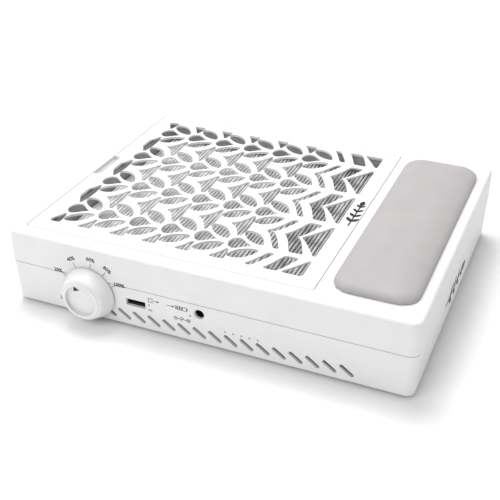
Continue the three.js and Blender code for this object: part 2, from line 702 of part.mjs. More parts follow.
function lightPipe(x) {
  return barrel(x, LIGHTS.z, LIGHTS.radius, FRONT + LOWER_TAPER / 2, BOARD.front - GAP + 0.2, 6);
}

// ---------- dial ----------

const dialGroup = new THREE.Group();
dialGroup.position.set(DIAL.x, FRONT - DIAL_GAP, DIAL.z);
dialGroup.rotation.x = Math.PI / 2;
object.add(dialGroup);

// drawn upright: height 0 is the rim next to the wall, and the face is up
function dialCap() {
  const { radius, faceRadius, length, dish, dishDepth } = DIAL;
  const bore = DIAL_SHAFT.radius + GAP;
  const hollow = length - 4;
  const body = turned([
    [bore, 2.5],
    [6, 2.5],
    [6, hollow],
    [faceRadius - 2.6, hollow],
    [radius - 2, 0],
    [radius, 0],
    [radius - 1.2, length - 5],
    [faceRadius + 1.3, length - 1.2],
    [faceRadius - 0.6, length],
    [dish + 0.8, length],
    [dish - 1.2, length - dishDepth],
    [bore, length - dishDepth],
  ], 28);
  const plug = new THREE.CylinderGeometry(4, 4, 1.2, 16);
  plug.rotateX(Math.PI / 2);
  plug.translate(0, 0, length - 2.6);
  return body.add(solid(plug));
}

function dialShaft() {
  const geometry = new THREE.CylinderGeometry(DIAL_SHAFT.radius, DIAL_SHAFT.radius, DIAL_SHAFT.length, 16);
  geometry.rotateX(Math.PI / 2);
  geometry.translate(0, 0, DIAL.length - 3.5 - DIAL_SHAFT.length / 2);
  return solid(geometry);
}

function potentiometer() {
  const { halfWidth, depth } = POTENTIOMETER;
  const body = box(DIAL.x - halfWidth, DIAL.x + halfWidth, socketMouth, socketMouth + depth,
    DIAL.z - halfWidth, DIAL.z + halfWidth);
  const bushing = barrel(DIAL.x, DIAL.z, BUSHING_RADIUS, FRONT - 2.6, socketMouth + 1, 16);
  const bore = barrel(DIAL.x, DIAL.z, DIAL_SHAFT.radius + GAP, FRONT - 10, socketMouth + 6, 16);
  return body.add(bushing).subtract(bore);
}

function dialNut() {
  const hexagon = new THREE.CylinderGeometry(NUT.radius, NUT.radius, NUT.thickness, 6);
  hexagon.translate(DIAL.x, FRONT - 1.3, DIAL.z);
  return solid(hexagon).subtract(barrel(DIAL.x, DIAL.z, BUSHING_RADIUS + GAP, FRONT - 10, FRONT + 10, 16));
}

// ---------- hand rest ----------

function handRestBase() {
  const low = CASE_HEIGHT + GAP;
  const plate = prism(frameOutline(REST, -REST_WRAP, REST.corner - REST_WRAP), low, low + REST_BASE, 2);
  const posts = restPosts().map(([x, y]) => (
    post(x, y, REST_POST.radius, CASE_HEIGHT - WALL - 3, low + 1, 10)
  ));
  return joined([plate, ...posts]);
}

// a cushion whose cover wraps down over the edge of its base
function handRestPad() {
  const low = CASE_HEIGHT + GAP;
  const high = CASE_HEIGHT + REST_HEIGHT;
  const outline = frameOutline(REST, 0, REST.corner);
  const whole = softPrism(outline, 2 * low - high, high, PAD_ROLL, high - low - 0.5, 5, 3);
  const lowerHalf = box(0, CASE_WIDTH, -CASE_DEPTH, CASE_DEPTH, 0, low);
  const wrap = REST_WRAP - GAP;
  const recess = prism(frameOutline(REST, -wrap, REST.corner - wrap), 0, low + REST_BASE + GAP, 2);
  return cut(whole, [lowerHalf, recess]);
}

// ---------- battery ----------

const cellPlaces = [-1, 0, 1].map((i) => BATTERY.x + i * CELL_PITCH);
const trayFloor = WALL + GAP;
const cellMiddle = trayFloor + BATTERY.floor + GAP + CELL_RADIUS;

function batteryTray() {
  const halfWidth = CELL_PITCH + CELL_RADIUS + 2;
  const halfLength = CELL_LENGTH / 2 + 2;
  const { x, y, floor, wall } = BATTERY;
  const outer = box(x - halfWidth, x + halfWidth, y - halfLength, y + halfLength, trayFloor, cellMiddle);
  const inner = box(x - halfWidth + wall, x + halfWidth - wall, y - halfLength + wall, y + halfLength - wall,
    trayFloor + floor, cellMiddle + 5);
  return outer.subtract(inner);
}

function batteryCell(x) {
  const profile = [
    [0, 0], [CELL_RADIUS, 0], [CELL_RADIUS, CELL_LENGTH - 0.8],
    [3, CELL_LENGTH - 0.8], [3, CELL_LENGTH], [0, CELL_LENGTH],
  ];
  return turned(profile, 14)
    .rotate([-90, 0, 0])
    .translate([x, BATTERY.y - CELL_LENGTH / 2, cellMiddle]);
}

function batteryBoard() {
  const low = cellMiddle + CELL_RADIUS + GAP;
  const { halfWidth, halfLength, thickness } = BATTERY_BOARD;
  return box(BATTERY.x - halfWidth, BATTERY.x + halfWidth, BATTERY.y - halfLength, BATTERY.y + halfLength,
    low, low + thickness);
}

// ---------- feet, screws and leads ----------

function foot(x, y) {
  const chamfer = 0.6;
  const seat = FOOT_RECESS - GAP;
  return turned([
    [0, -FOOT_HEIGHT],
    [FEET.radius - chamfer, -FOOT_HEIGHT],
    [FEET.radius, -FOOT_HEIGHT + chamfer],
    [FEET.radius, seat],
    [0, seat],
  ], 14).translate([x, y, 0]);
}

// a pan-head screw, head up, with its head resting at `seat`
function screw(x, y, seat, headRadius, shankRadius, length) {
  const headHeight = 1.5;
  return turned([
    [0, seat - length],
    [shankRadius, seat - length + 0.6],
    [shankRadius, seat],
    [headRadius, seat],
    [headRadius, seat + headHeight / 2],
    [headRadius * 0.6, seat + headHeight],
    [0, seat + headHeight],
  ], 8).translate([x, y, 0]);
}

// the same screw driven from below
function screwFromBelow(x, y, seat, headRadius, shankRadius, length) {
  return screw(0, 0, 0, headRadius, shankRadius, length).rotate([180, 0, 0]).translate([x, y, seat]);
}

function lead(points) {
  const path = new THREE.CatmullRomCurve3(points.map(([x, y, z]) => new THREE.Vector3(x, y, z)));
  const section = new THREE.Shape();
  section.absarc(0, 0, LEAD_RADIUS, 0, 2 * Math.PI);
  return solid(new THREE.ExtrudeGeometry(section, { extrudePath: path, steps: 11, curveSegments: 4 }));
}

// ---------- the pieces ----------

add('top_shell', topShell(), housingWhite);
add('bottom_shell', bottomShell(), housingWhite);
add('base_plate', basePlate(), housingWhite);
add('grille_cover', grilleCover(), grilleWhite);

add('filter_frame', filterFrame(), frameGrey);
add('filter_media', filterMedia(), filterPaper);
add('filter_gasket', filterGasket(), foamGrey);

add('fan_deck', fanDeck(), housingWhite);
add('impeller', impeller(), fanGrey);
add('rotor_cup', rotorCup(), steel);
add('magnet_ring', ring(MAGNET.inner, MAGNET.outer, rotorBottom + 1, CUP.top - 3, 18), magnetDark);
add('motor_shaft', ring(0, SHAFT_RADIUS, plateBottom + 1, CUP.top - GAP, 12), steel);
add('lower_bearing', bearing(plateBottom + 1 + BEARING.height), steel);
add('upper_bearing', bearing(upperBearingTop), steel);
add('motor_stator', motorStator(), laminate);
add('motor_base', motorBase(), steel);

add('control_board', controlBoard(), boardGreen);
add('usb_socket', usbSocket(), socketBlack);
add('charging_socket', chargingSocket(), socketBlack);
lightPlaces().forEach((x, i) => add(`level_light_${i + 1}`, lightPipe(x), lightClear));

add('dial', dialCap(), housingWhite, dialGroup);
add('dial_shaft', dialShaft(), steel, dialGroup);
add('potentiometer', potentiometer(), steel);
add('dial_nut', dialNut(), steel);

add('hand_rest_base', handRestBase(), housingWhite);
add('hand_rest_pad', handRestPad(), padGrey);

add('battery_tray', batteryTray(), fanGrey);
cellPlaces.forEach((x, i) => add(`battery_cell_${i + 1}`, batteryCell(x), cellSleeve));
add('battery_board', batteryBoard(), boardGreen);

fourCorners.forEach(([sx, sy], i) => {
  add(`foot_${i + 1}`, foot(sx * FEET.x, sy * FEET.y), rubberGrey);
  add(`case_screw_${i + 1}`, screwFromBelow(sx * CASE_SCREWS.x, sy * CASE_SCREWS.y,
    CASE_SCREWS.seat - GAP, 2.9, SHAFT_RADIUS, CASE_SCREWS.length), steel);
  add(`deck_screw_${i + 1}`, screw(FAN.x + sx * DECK_SCREWS.x, FAN.y + sy * DECK_SCREWS.y,
    DECK_TOP + GAP, 2.8, SHAFT_RADIUS, DECK_SCREWS.length), steel);
});
motorScrewPlaces().forEach(([x, y], i) => {
  add(`motor_screw_${i + 1}`, screw(x, y, plateTop + GAP, 2, SMALL_SHANK, 5.4), steel);
});
boardScrewPlaces().forEach(([x, y], i) => {
  add(`board_screw_${i + 1}`, screw(x, y, BOARD.top + GAP, 2, SMALL_SHANK, 8), steel);
});

// both leads end upright under the control board
const leadEnd = BOARD.top - BOARD.thickness - 2 * GAP;
const motorLeadPath = [
  [-20.5, -30.8, 5],
  [-20.5, -48, 4.6],
  [-24, -76, 4.6],
  [-28, -90, 6],
  [-28.5, -95, leadEnd - 4],
  [-28.5, -95.2, leadEnd],
];
const batteryLeadPath = [
  [83, -14, 6],
  [76, -16, 5],
  [71, -40, 5],
  [67, -80, 6],
  [59, -96, 7],
  [49, -99, leadEnd - 4],
  [48.5, -99.2, leadEnd],
];
add('motor_lead', lead(motorLeadPath), leadBlack);
add('battery_lead', lead(batteryLeadPath), leadBlack);

export default object;
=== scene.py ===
"""Nail dust collector: the looks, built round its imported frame. Metres, +Z up."""
import json
import math

import bmesh
import bpy
from mathutils import Matrix, Vector, noise


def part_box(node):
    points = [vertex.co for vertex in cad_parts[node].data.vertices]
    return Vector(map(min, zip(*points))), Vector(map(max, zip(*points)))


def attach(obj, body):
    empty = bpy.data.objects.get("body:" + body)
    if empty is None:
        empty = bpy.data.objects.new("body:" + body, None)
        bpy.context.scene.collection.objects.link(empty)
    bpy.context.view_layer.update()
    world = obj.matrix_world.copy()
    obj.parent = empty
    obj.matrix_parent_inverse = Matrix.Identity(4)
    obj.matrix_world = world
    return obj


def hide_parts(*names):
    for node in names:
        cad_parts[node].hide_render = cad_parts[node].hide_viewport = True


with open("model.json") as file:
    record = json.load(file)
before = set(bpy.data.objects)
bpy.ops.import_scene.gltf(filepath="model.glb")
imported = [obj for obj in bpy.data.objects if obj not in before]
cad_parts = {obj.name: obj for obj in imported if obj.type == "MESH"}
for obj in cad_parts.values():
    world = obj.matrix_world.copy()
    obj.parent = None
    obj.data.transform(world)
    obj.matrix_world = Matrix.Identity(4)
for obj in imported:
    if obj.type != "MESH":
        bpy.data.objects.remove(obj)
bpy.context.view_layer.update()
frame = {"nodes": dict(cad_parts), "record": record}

MM = 0.001

# ---------- places and sizes, taken from the frame ----------

TOP_LOW, TOP_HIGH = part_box("top_shell")
BASE_LOW, BASE_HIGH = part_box("bottom_shell")
COVER_LOW, COVER_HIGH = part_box("grille_cover")
MEDIA_LOW, MEDIA_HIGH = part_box("filter_media")
CASSETTE_LOW, CASSETTE_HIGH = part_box("filter_frame")
PAD_LOW, PAD_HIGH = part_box("hand_rest_pad")
DIAL_LOW, DIAL_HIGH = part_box("dial")
USB_LOW, USB_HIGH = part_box("usb_socket")
JACK_LOW, JACK_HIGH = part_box("charging_socket")

CASE_MIDDLE = (BASE_LOW + BASE_HIGH) / 2
CASE_TOP = TOP_HIGH.z
CASE_FLOOR = BASE_LOW.z
FRONT = TOP_LOW.y
BACK = TOP_HIGH.y

GAP = 0.3 * MM
SEAM = 0.5 * MM
PARTING_TOP = BASE_HIGH.z + GAP
WALL = 2.5 * MM
CORNER = 7.4 * MM
TOP_ROUNDING = 2.4 * MM
LOWER_TAPER = 1.2 * MM
LOWER_STEP = 0.25 * MM
COVER_CORNER = 2.2 * MM

# the well that the filter lies in: its seat is under the cassette
WELL_MARGIN = 0.6 * MM
WELL_CORNER = 1.5 * MM
WELL_WALL = 2 * MM
SEAT_WIDTH = 10 * MM
SEAT_TOP = CASSETTE_LOW.z - 2.6 * MM
SEAT_THICKNESS = 2 * MM
LEDGE_TOP = COVER_LOW.z - GAP
LEDGE_THICKNESS = 3 * MM


# ---------- small helpers ----------

def linked(name, data):
    """A new object in the scene."""
    item = bpy.data.objects.new(name, data)
    bpy.context.scene.collection.objects.link(item)
    return item


def mesh_from(name, builder):
    """The mesh of a bmesh, which is freed."""
    mesh = bpy.data.meshes.new(name)
    builder.to_mesh(mesh)
    builder.free()
    return mesh


def turned_by(degrees, axis):
    return Matrix.Rotation(math.radians(degrees), 4, axis)


def middle_of(name):
    low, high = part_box(name)
    return (low + high) / 2


def piece_from_mesh(name, mesh, body, material, stands_for=()):
    """Links a mesh as a named piece that rides on a body."""
    piece = linked(name, mesh)
    mesh.materials.clear()
    mesh.materials.append(material)
    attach(piece, body)
    if stands_for:
        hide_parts(*stands_for)
    return piece


def finished(mesh, sharp_angle=35):
    """Smooth faces with crisp edges, and outward normals."""
    builder = bmesh.new()
    builder.from_mesh(mesh)
    bmesh.ops.remove_doubles(builder, verts=builder.verts, dist=1e-7)
    bmesh.ops.recalc_face_normals(builder, faces=builder.faces)
    builder.to_mesh(mesh)
    builder.free()
    mesh.shade_smooth()
    mesh.set_sharp_from_angle(angle=math.radians(sharp_angle))
    return mesh


def weighted(piece):
    """Keeps flat faces flat beside rounded edges."""
    modifier = piece.modifiers.new("weighted_normals", "WEIGHTED_NORMAL")
    modifier.weight = 100
    modifier.keep_sharp = True


def arc(start, end, steps):
    """Angles in radians from start to end degrees."""
    return [math.radians(start + (end - start) * i / steps) for i in range(steps + 1)]


def around(x, y, radius, start, end, steps):
    """Points of an arc about (x, y), from start to end degrees."""
    return [(x + radius * math.cos(angle), y + radius * math.sin(angle))
            for angle in arc(start, end, steps)]


def rounding(radius, start, end, steps):
    """How far each point of a round edge is drawn in and down."""
    return [(radius * (1 - math.cos(angle)), radius * (1 - math.sin(angle)))
            for angle in arc(start, end, steps)]


def in_mm(*points):
    """Points given in millimetres."""
    return [(x * MM, y * MM) for x, y in points]


def rounded_ring(low, high, margin, corner, z, steps=8):
    """Points of a rounded rectangle at height z, `margin` larger than low..high all round."""
    x0, x1 = low[0] - margin, high[0] + margin
    y0, y1 = low[1] - margin, high[1] + margin
    radius = max(corner, 0.05 * MM)
    centres = [
        (x1 - radius, y0 + radius, -90),
        (x1 - radius, y1 - radius, 0),
        (x0 + radius, y1 - radius, 90),
        (x0 + radius, y0 + radius, 180),
    ]
    points = []
    for x, y, start in centres:
        points += [Vector((*point, z)) for point in around(x, y, radius, start, start + 90, steps)]
    return points


def loft(name, rings, closed=False):
    """A closed skin through rings with equal numbers of points. `closed` joins last to first."""
    builder = bmesh.new()
    rows = [[builder.verts.new(point) for point in ring] for ring in rings]
    count = len(rows[0])
    pairs = list(zip(rows, rows[1:]))
    if closed:
        pairs.append((rows[-1], rows[0]))
    for below, above in pairs:
        for i in range(count):
            j = (i + 1) % count
            builder.faces.new((below[i], below[j], above[j], above[i]))
    if not closed:
        builder.faces.new(rows[0])
        builder.faces.new(rows[-1])
    return mesh_from(name, builder)


def turned(name, profile, sides=64):
    """A solid of revolution about Z from (radius, height) pairs that start and end on the axis."""
    builder = bmesh.new()
    rows = []
    for radius, height in profile:
        if radius < 1e-9:
            rows.append([builder.verts.new((0, 0, height))])
            continue
        rows.append([builder.verts.new((*point, height)) for point in circle(0, 0, radius, sides)])
    for below, above in zip(rows, rows[1:]):
        for i in range(sides):
            j = (i + 1) % sides
            corners = []
            for vertex in (below[i % len(below)], below[j % len(below)], above[j % len(above)],
                           above[i % len(above)]):
                if vertex not in corners:
                    corners.append(vertex)
            builder.faces.new(corners)
    return mesh_from(name, builder)


def joined_mesh(name, meshes):
    """One mesh holding several closed bodies."""
    builder = bmesh.new()
    for mesh in meshes:
        builder.from_mesh(mesh)
        bpy.data.meshes.remove(mesh)
    return mesh_from(name, builder)


def evaluated_mesh(name, piece):
    """The piece's mesh with its modifiers applied."""
    bpy.context.view_layer.update()
    graph = bpy.context.evaluated_depsgraph_get()
    mesh = bpy.data.meshes.new_from_object(piece.evaluated_get(graph), depsgraph=graph)
    mesh.name = name
    return mesh


def boolean(mesh, other, operation):
    """The exact boolean of two meshes."""
    whole = linked("boolean_whole", finished(mesh))
    tool = linked("boolean_tool", finished(other))
    modifier = whole.modifiers.new("boolean", "BOOLEAN")
    modifier.solver = "EXACT"
    modifier.operation = operation
    modifier.object = tool
    result = evaluated_mesh(mesh.name, whole)
    for item in (whole, tool):
        bpy.data.objects.remove(item)
    return result


def box_mesh(name, low, high):
    """A plain block, used to cut or join."""
    builder = bmesh.new()
    bmesh.ops.create_cube(builder, size=1)
    for vertex in builder.verts:
        for axis in range(3):
            vertex.co[axis] = low[axis] if vertex.co[axis] < 0 else high[axis]
    return mesh_from(name, builder)


def flared_cutter(name, outline, surface, depth, flare, direction=-1):
    """A cutter along Y through a wall. It is wider at the outer surface, which breaks the rim's edge.

    `outline` gives (x, z) points for a margin, `surface` is the wall's outer Y, and `direction`
    of -1 means that the outside is towards -Y.
    """
    inner = surface - direction * depth
    outer = surface + direction * 4 * MM
    stations = [(inner, 0), (surface - direction * flare, 0), (surface, flare), (outer, flare)]
    return loft(name, [[Vector((x, y, z)) for x, z in outline(margin)] for y, margin in stations])


def rounded_bar_outline(start, end, width, steps=6):
    """A round-ended bar from start to end in the X-Z plane."""
    heading = math.degrees(math.atan2(end[1] - start[1], end[0] - start[0]))

    def outline(margin):
        radius = width / 2 + margin
        return [*around(*end, radius, heading - 90, heading + 90, steps),
                *around(*start, radius, heading + 90, heading + 270, steps)]

    return outline


def rectangle_outline(x0, x1, z0, z1, corner, steps=4):
    def outline(margin):
        return [point.xy for point in rounded_ring((x0, z0), (x1, z1), margin, corner + margin, 0, steps)]

    return outline


def circle(x, y, radius, sides=20):
    turns = [2 * math.pi * i / sides for i in range(sides)]
    return [(x + radius * math.cos(turn), y + radius * math.sin(turn)) for turn in turns]


def circle_outline(x, z, radius, sides):
    return lambda margin: circle(x, z, radius + margin, sides)


# ---------- materials ----------

class Nodes:
    """A short way to write a material's node tree."""

    def __init__(self, name, color, roughness, metallic=0.0, **sockets):
        self.material = bpy.data.materials.new(name)
        self.material.use_nodes = True
        self.tree = self.material.node_tree
        self.shader = self.tree.nodes["Principled BSDF"]
        self.fill(self.shader, Base_Color=(*color, 1), Roughness=roughness, Metallic=metallic, **sockets)
        self.coordinates = self.add("TexCoord").outputs["Object"]
        self.height = None

    def link(self, output, socket):
        self.tree.links.new(output, socket)

    def fill(self, node, **sockets):
        """Sets a node's sockets by name. The output of another node is linked."""
        for name, value in sockets.items():
            socket = node.inputs[name.replace("_", " ")]
            if isinstance(value, bpy.types.NodeSocket):
                self.link(value, socket)
            else:
                socket.default_value = value

    def add(self, kind, **sockets):
        node = self.tree.nodes.new("ShaderNode" + kind)
        self.fill(node, **sockets)
        return node

    def noise(self, scale, detail=4.0, roughness=0.55, stretch=None):
        """Noise whose features are about 1/scale metres across."""
        place = self.coordinates
        if stretch:
            place = self.add("Mapping", Vector=place, Scale=stretch).outputs["Vector"]
        node = self.add("TexNoise", Vector=place, Scale=scale, Detail=detail, Roughness=roughness)
        return node.outputs["Fac"]

    def cells(self, scale, feature="DISTANCE_TO_EDGE"):
        node = self.add("TexVoronoi", Vector=self.coordinates, Scale=scale)
        node.feature = feature
        return node.outputs["Distance"]

    def waves(self, scale, direction, distortion=0.0):
        node = self.add("TexWave", Vector=self.coordinates, Scale=scale, Distortion=distortion)
        node.bands_direction = direction
        return node.outputs["Fac"]

    def curve(self, value, stops):
        """Maps a value through coloured stops: [(position, colour), ...]."""
        node = self.add("ValToRGB", Fac=value)
        ramp = node.color_ramp
        while len(ramp.elements) < len(stops):
            ramp.elements.new(0.5)
        for element, (position, color) in zip(ramp.elements, stops):
            element.position = position
            element.color = (*color, 1)
        return node.outputs["Color"]

    def range(self, value, low, high):
        return self.add("MapRange", Value=value, To_Min=low, To_Max=high).outputs["Result"]

    def color_from(self, value, dark, light, low=0.35, high=0.65):
        self.fill(self.shader, Base_Color=self.curve(value, [(low, dark), (high, light)]))

    def roughness_from(self, value, low, high):
        self.fill(self.shader, Roughness=self.range(value, low, high))

    def bump(self, value, distance, strength=1.0):
        """Adds a layer of bump. `distance` is the depth of the relief in metres."""
        node = self.add("Bump", Height=value, Distance=distance, Strength=strength)
        if self.height:
            self.fill(node, Normal=self.height)
        self.height = node.outputs["Normal"]
        self.fill(self.shader, Normal=self.height)


def moulded_plastic(name, dark, light, roughness):
    """Moulded plastic: a fine spark-eroded grain, faint flow marks and uneven gloss."""
    m = Nodes(name, light, roughness, IOR=1.49)
    m.color_from(m.noise(38, 5), dark, light)
    m.roughness_from(m.noise(210, 5), roughness - 0.06, roughness + 0.08)
    m.bump(m.noise(26, 2), 0.05 * MM, 0.35)
    m.bump(m.noise(2600, 3, 0.6), 0.012 * MM, 0.9)
    return m.material


BRUSHED = (1, 1, 14)


def satin_metal(name, color, roughness):
    """Metal with fine brushed lines and handling marks."""
    m = Nodes(name, color, roughness, metallic=1.0)
    dark = tuple(0.8 * c for c in color)
    m.color_from(m.noise(140, 4), dark, color)
    m.roughness_from(m.noise(420, 4, 0.7, BRUSHED), roughness - 0.08, roughness + 0.14)
    m.bump(m.noise(1500, 3, 0.6, BRUSHED), 0.006 * MM)
    return m.material


def leatherette():
    """Soft matt leatherette: fine pebble grain, pores and a slight sheen."""
    m = Nodes("leatherette", (0.46, 0.44, 0.443), 0.55, Sheen_Weight=0.15, Sheen_Roughness=0.4)
    m.color_from(m.noise(55, 5), (0.45, 0.429, 0.432), (0.473, 0.451, 0.454))
    m.roughness_from(m.noise(480, 4), 0.52, 0.7)
    m.bump(m.noise(60, 2), 0.05 * MM, 0.25)
    m.bump(m.cells(1250), 0.05 * MM, 0.55)
    m.bump(m.noise(3800, 3), 0.012 * MM, 0.6)
    return m.material


def filter_paper():
    """Non-woven filter paper: matted fibres, and painted shade that darkens the bottoms of the folds."""
    m = Nodes("filter_paper", (0.7, 0.7, 0.69), 0.95, Sheen_Weight=0.15)
    # painted shade: the colour runs from near white at the folds' crests to near black at their bottoms
    upright = m.add("SeparateXYZ", Vector=m.coordinates).outputs["Z"]
    height = m.add("MapRange", Value=upright, From_Min=MEDIA_LOW.z, From_Max=MEDIA_HIGH.z)
    fibres_and_fold_shade = m.add("Math")
    fibres_and_fold_shade.operation = "MULTIPLY_ADD"
    m.link(m.noise(700, 5, 0.7, (1, 0.35, 1)), fibres_and_fold_shade.inputs[0])
    fibres_and_fold_shade.inputs[1].default_value = 0.34
    m.link(height.outputs["Result"], fibres_and_fold_shade.inputs[2])
    m.fill(m.shader, Base_Color=m.curve(fibres_and_fold_shade.outputs["Value"], [
        (0.2, (0.05, 0.05, 0.05)), (0.6, (0.15, 0.15, 0.15)),
        (0.84, (0.55, 0.55, 0.545)), (1.0, (0.93, 0.93, 0.925)),
    ]))
    m.bump(m.noise(2400, 5, 0.7, (1, 0.3, 1)), 0.06 * MM, 0.8)
    m.bump(m.cells(1600), 0.03 * MM, 0.4)
    return m.material


def foam():
    """Open-cell foam."""
    m = Nodes("foam", (0.12, 0.12, 0.125), 0.95)
    m.color_from(m.cells(900, "F1"), (0.05, 0.05, 0.052), (0.16, 0.16, 0.165), 0.1, 0.6)
    m.bump(m.cells(1100), 0.15 * MM, 0.9)
    return m.material


def rubber():
    """Dull rubber with a fine grain."""
    m = Nodes("rubber", (0.16, 0.165, 0.17), 0.85)
    m.color_from(m.noise(300, 5), (0.11, 0.115, 0.12), (0.18, 0.185, 0.19))
    m.roughness_from(m.noise(700, 4), 0.75, 0.95)
    m.bump(m.noise(2200, 4), 0.03 * MM, 0.8)
    return m.material


def circuit_board():
    """Green solder mask over a pattern of copper tracks."""
    m = Nodes("circuit_board", (0.03, 0.16, 0.08), 0.35, IOR=1.5)
    tracks = m.waves(160, "DIAGONAL", 9.0)
    m.color_from(tracks, (0.018, 0.10, 0.05), (0.04, 0.20, 0.10), 0.45, 0.55)
    m.bump(tracks, 0.04 * MM, 0.6)
    m.bump(m.noise(1800, 3), 0.01 * MM)
    return m.material


def sleeve():
    """Heat-shrink sleeve of a battery cell, a little wrinkled."""
    m = Nodes("cell_sleeve", (0.05, 0.2, 0.5), 0.3, IOR=1.5)
    m.color_from(m.noise(60, 4), (0.035, 0.16, 0.42), (0.06, 0.22, 0.54))
    m.bump(m.noise(220, 4, 0.6, (1, 0.2, 1)), 0.08 * MM, 0.6)
    return m.material


def wound_steel():
    """Stacked laminations with copper winding between the poles."""
    m = Nodes("wound_steel", (0.4, 0.2, 0.1), 0.4, metallic=1.0)
    m.color_from(m.waves(900, "Z"), (0.16, 0.16, 0.17), (0.5, 0.24, 0.12), 0.3, 0.7)
    m.bump(m.waves(900, "Z"), 0.05 * MM)
    return m.material


def clear_acrylic():
    """Frosted clear acrylic."""
    m = Nodes("clear_acrylic", (0.62, 0.66, 0.65), 0.18, IOR=1.49, Transmission_Weight=0.25)
    m.roughness_from(m.noise(900, 3), 0.12, 0.3)
    m.bump(m.noise(1500, 2), 0.01 * MM)
    return m.material


def printed_ink(name, color):
    """Screen-printed ink, a little uneven."""
    m = Nodes(name, color, 0.55)
    light = tuple(min(1.0, 1.35 * c + 0.01) for c in color)
    m.color_from(m.noise(2500, 4), color, light)
    m.roughness_from(m.noise(1500, 3), 0.45, 0.7)
    return m.material


HOUSING = moulded_plastic("housing_white", (0.80, 0.80, 0.805), (0.83, 0.83, 0.835), 0.42)
GRILLE = moulded_plastic("grille_white", (0.84, 0.84, 0.84), (0.87, 0.87, 0.87), 0.4)
FAN = moulded_plastic("fan_nylon", (0.035, 0.037, 0.04), (0.055, 0.058, 0.062), 0.5)
BLACK = moulded_plastic("socket_black", (0.006, 0.006, 0.007), (0.014, 0.014, 0.015), 0.45)
STEEL = satin_metal("plated_steel", (0.55, 0.56, 0.58), 0.3)
GOLD = satin_metal("gold_contact", (0.75, 0.55, 0.25), 0.25)
MAGNET = satin_metal("magnet", (0.12, 0.12, 0.13), 0.6)
LEATHER = leatherette()
# painted shade: the cassette frame is a mid grey, darker than the white housing, so that the well seen
# through the grille looks shaded
SHADED_FRAME_GREY = moulded_plastic("frame_grey", (0.36, 0.363, 0.367), (0.4, 0.403, 0.407), 0.55)
PAPER = filter_paper()
FOAM = foam()
RUBBER = rubber()
BOARD = circuit_board()
SLEEVE = sleeve()
WINDINGS = wound_steel()
ACRYLIC = clear_acrylic()
INK = printed_ink("ink_grey", (0.045, 0.045, 0.05))
INK_BLACK = printed_ink("ink_black", (0.008, 0.008, 0.009))
LEAD = moulded_plastic("lead_insulation", (0.01, 0.01, 0.011), (0.02, 0.02, 0.022), 0.5)

SLOT_MATERIALS = {
    "housing_white": HOUSING,
    "grille_white": GRILLE,
    "pad_grey": LEATHER,
    "filter_paper": PAPER,
    "frame_grey": SHADED_FRAME_GREY,
    "foam_grey": FOAM,
    "fan_grey": FAN,
    "board_green": BOARD,
    "socket_black": BLACK,
    "light_clear": ACRYLIC,
    "rubber_grey": RUBBER,
    "steel": STEEL,
    "laminate": WINDINGS,
    "magnet_dark": MAGNET,
    "cell_sleeve": SLEEVE,
    "lead_black": LEAD,
}


def dress_frame():
    """Gives every CAD node its slot's material and a small rounded edge."""
    slot_of = {entry["node"]: entry["material_slot"] for entry in frame["record"]["subparts"]}
    for name, node in frame["nodes"].items():
        node.data.materials.clear()
        node.data.materials.append(SLOT_MATERIALS[slot_of[name]])
        edge = node.modifiers.new("edge", "BEVEL")
        edge.width = 0.2 * MM
        edge.segments = 2
        edge.limit_method = "ANGLE"
        edge.angle_limit = math.radians(40)
        edge.use_clamp_overlap = True


# ---------- casing ----------

def case_piece(name, mesh, *stands_for):
    """A white piece of the casing."""
    return piece_from_mesh(name, finished(mesh), "casing", HOUSING, stands_for)


def case_ring(inset, z):
    return rounded_ring(TOP_LOW, TOP_HIGH, -inset, CORNER - inset, z, 10)


def well_ring(margin, z):
    return rounded_ring(CASSETTE_LOW, CASSETTE_HIGH, WELL_MARGIN + margin, WELL_CORNER, z, 10)


def cover_ring(margin, z):
    return rounded_ring(COVER_LOW, COVER_HIGH, margin, COVER_CORNER + margin, z, 10)


def notch_box():
    """Corners of the finger notch: left, right, front, back and floor."""
    left = COVER_LOW.x - GAP
    middle = (COVER_LOW.y + COVER_HIGH.y) / 2 + 0.5 * MM
    return left, left + 6 * MM, middle - 17 * MM, middle + 17 * MM, CASE_TOP - 9 * MM


# the shells' edges stand back from the parting, and the lower one carries a tongue behind the gap
PARTING_EDGE = 0.15 * MM
PARTING_SETBACK = 0.28 * MM
TONGUE_INSET = 1.1 * MM


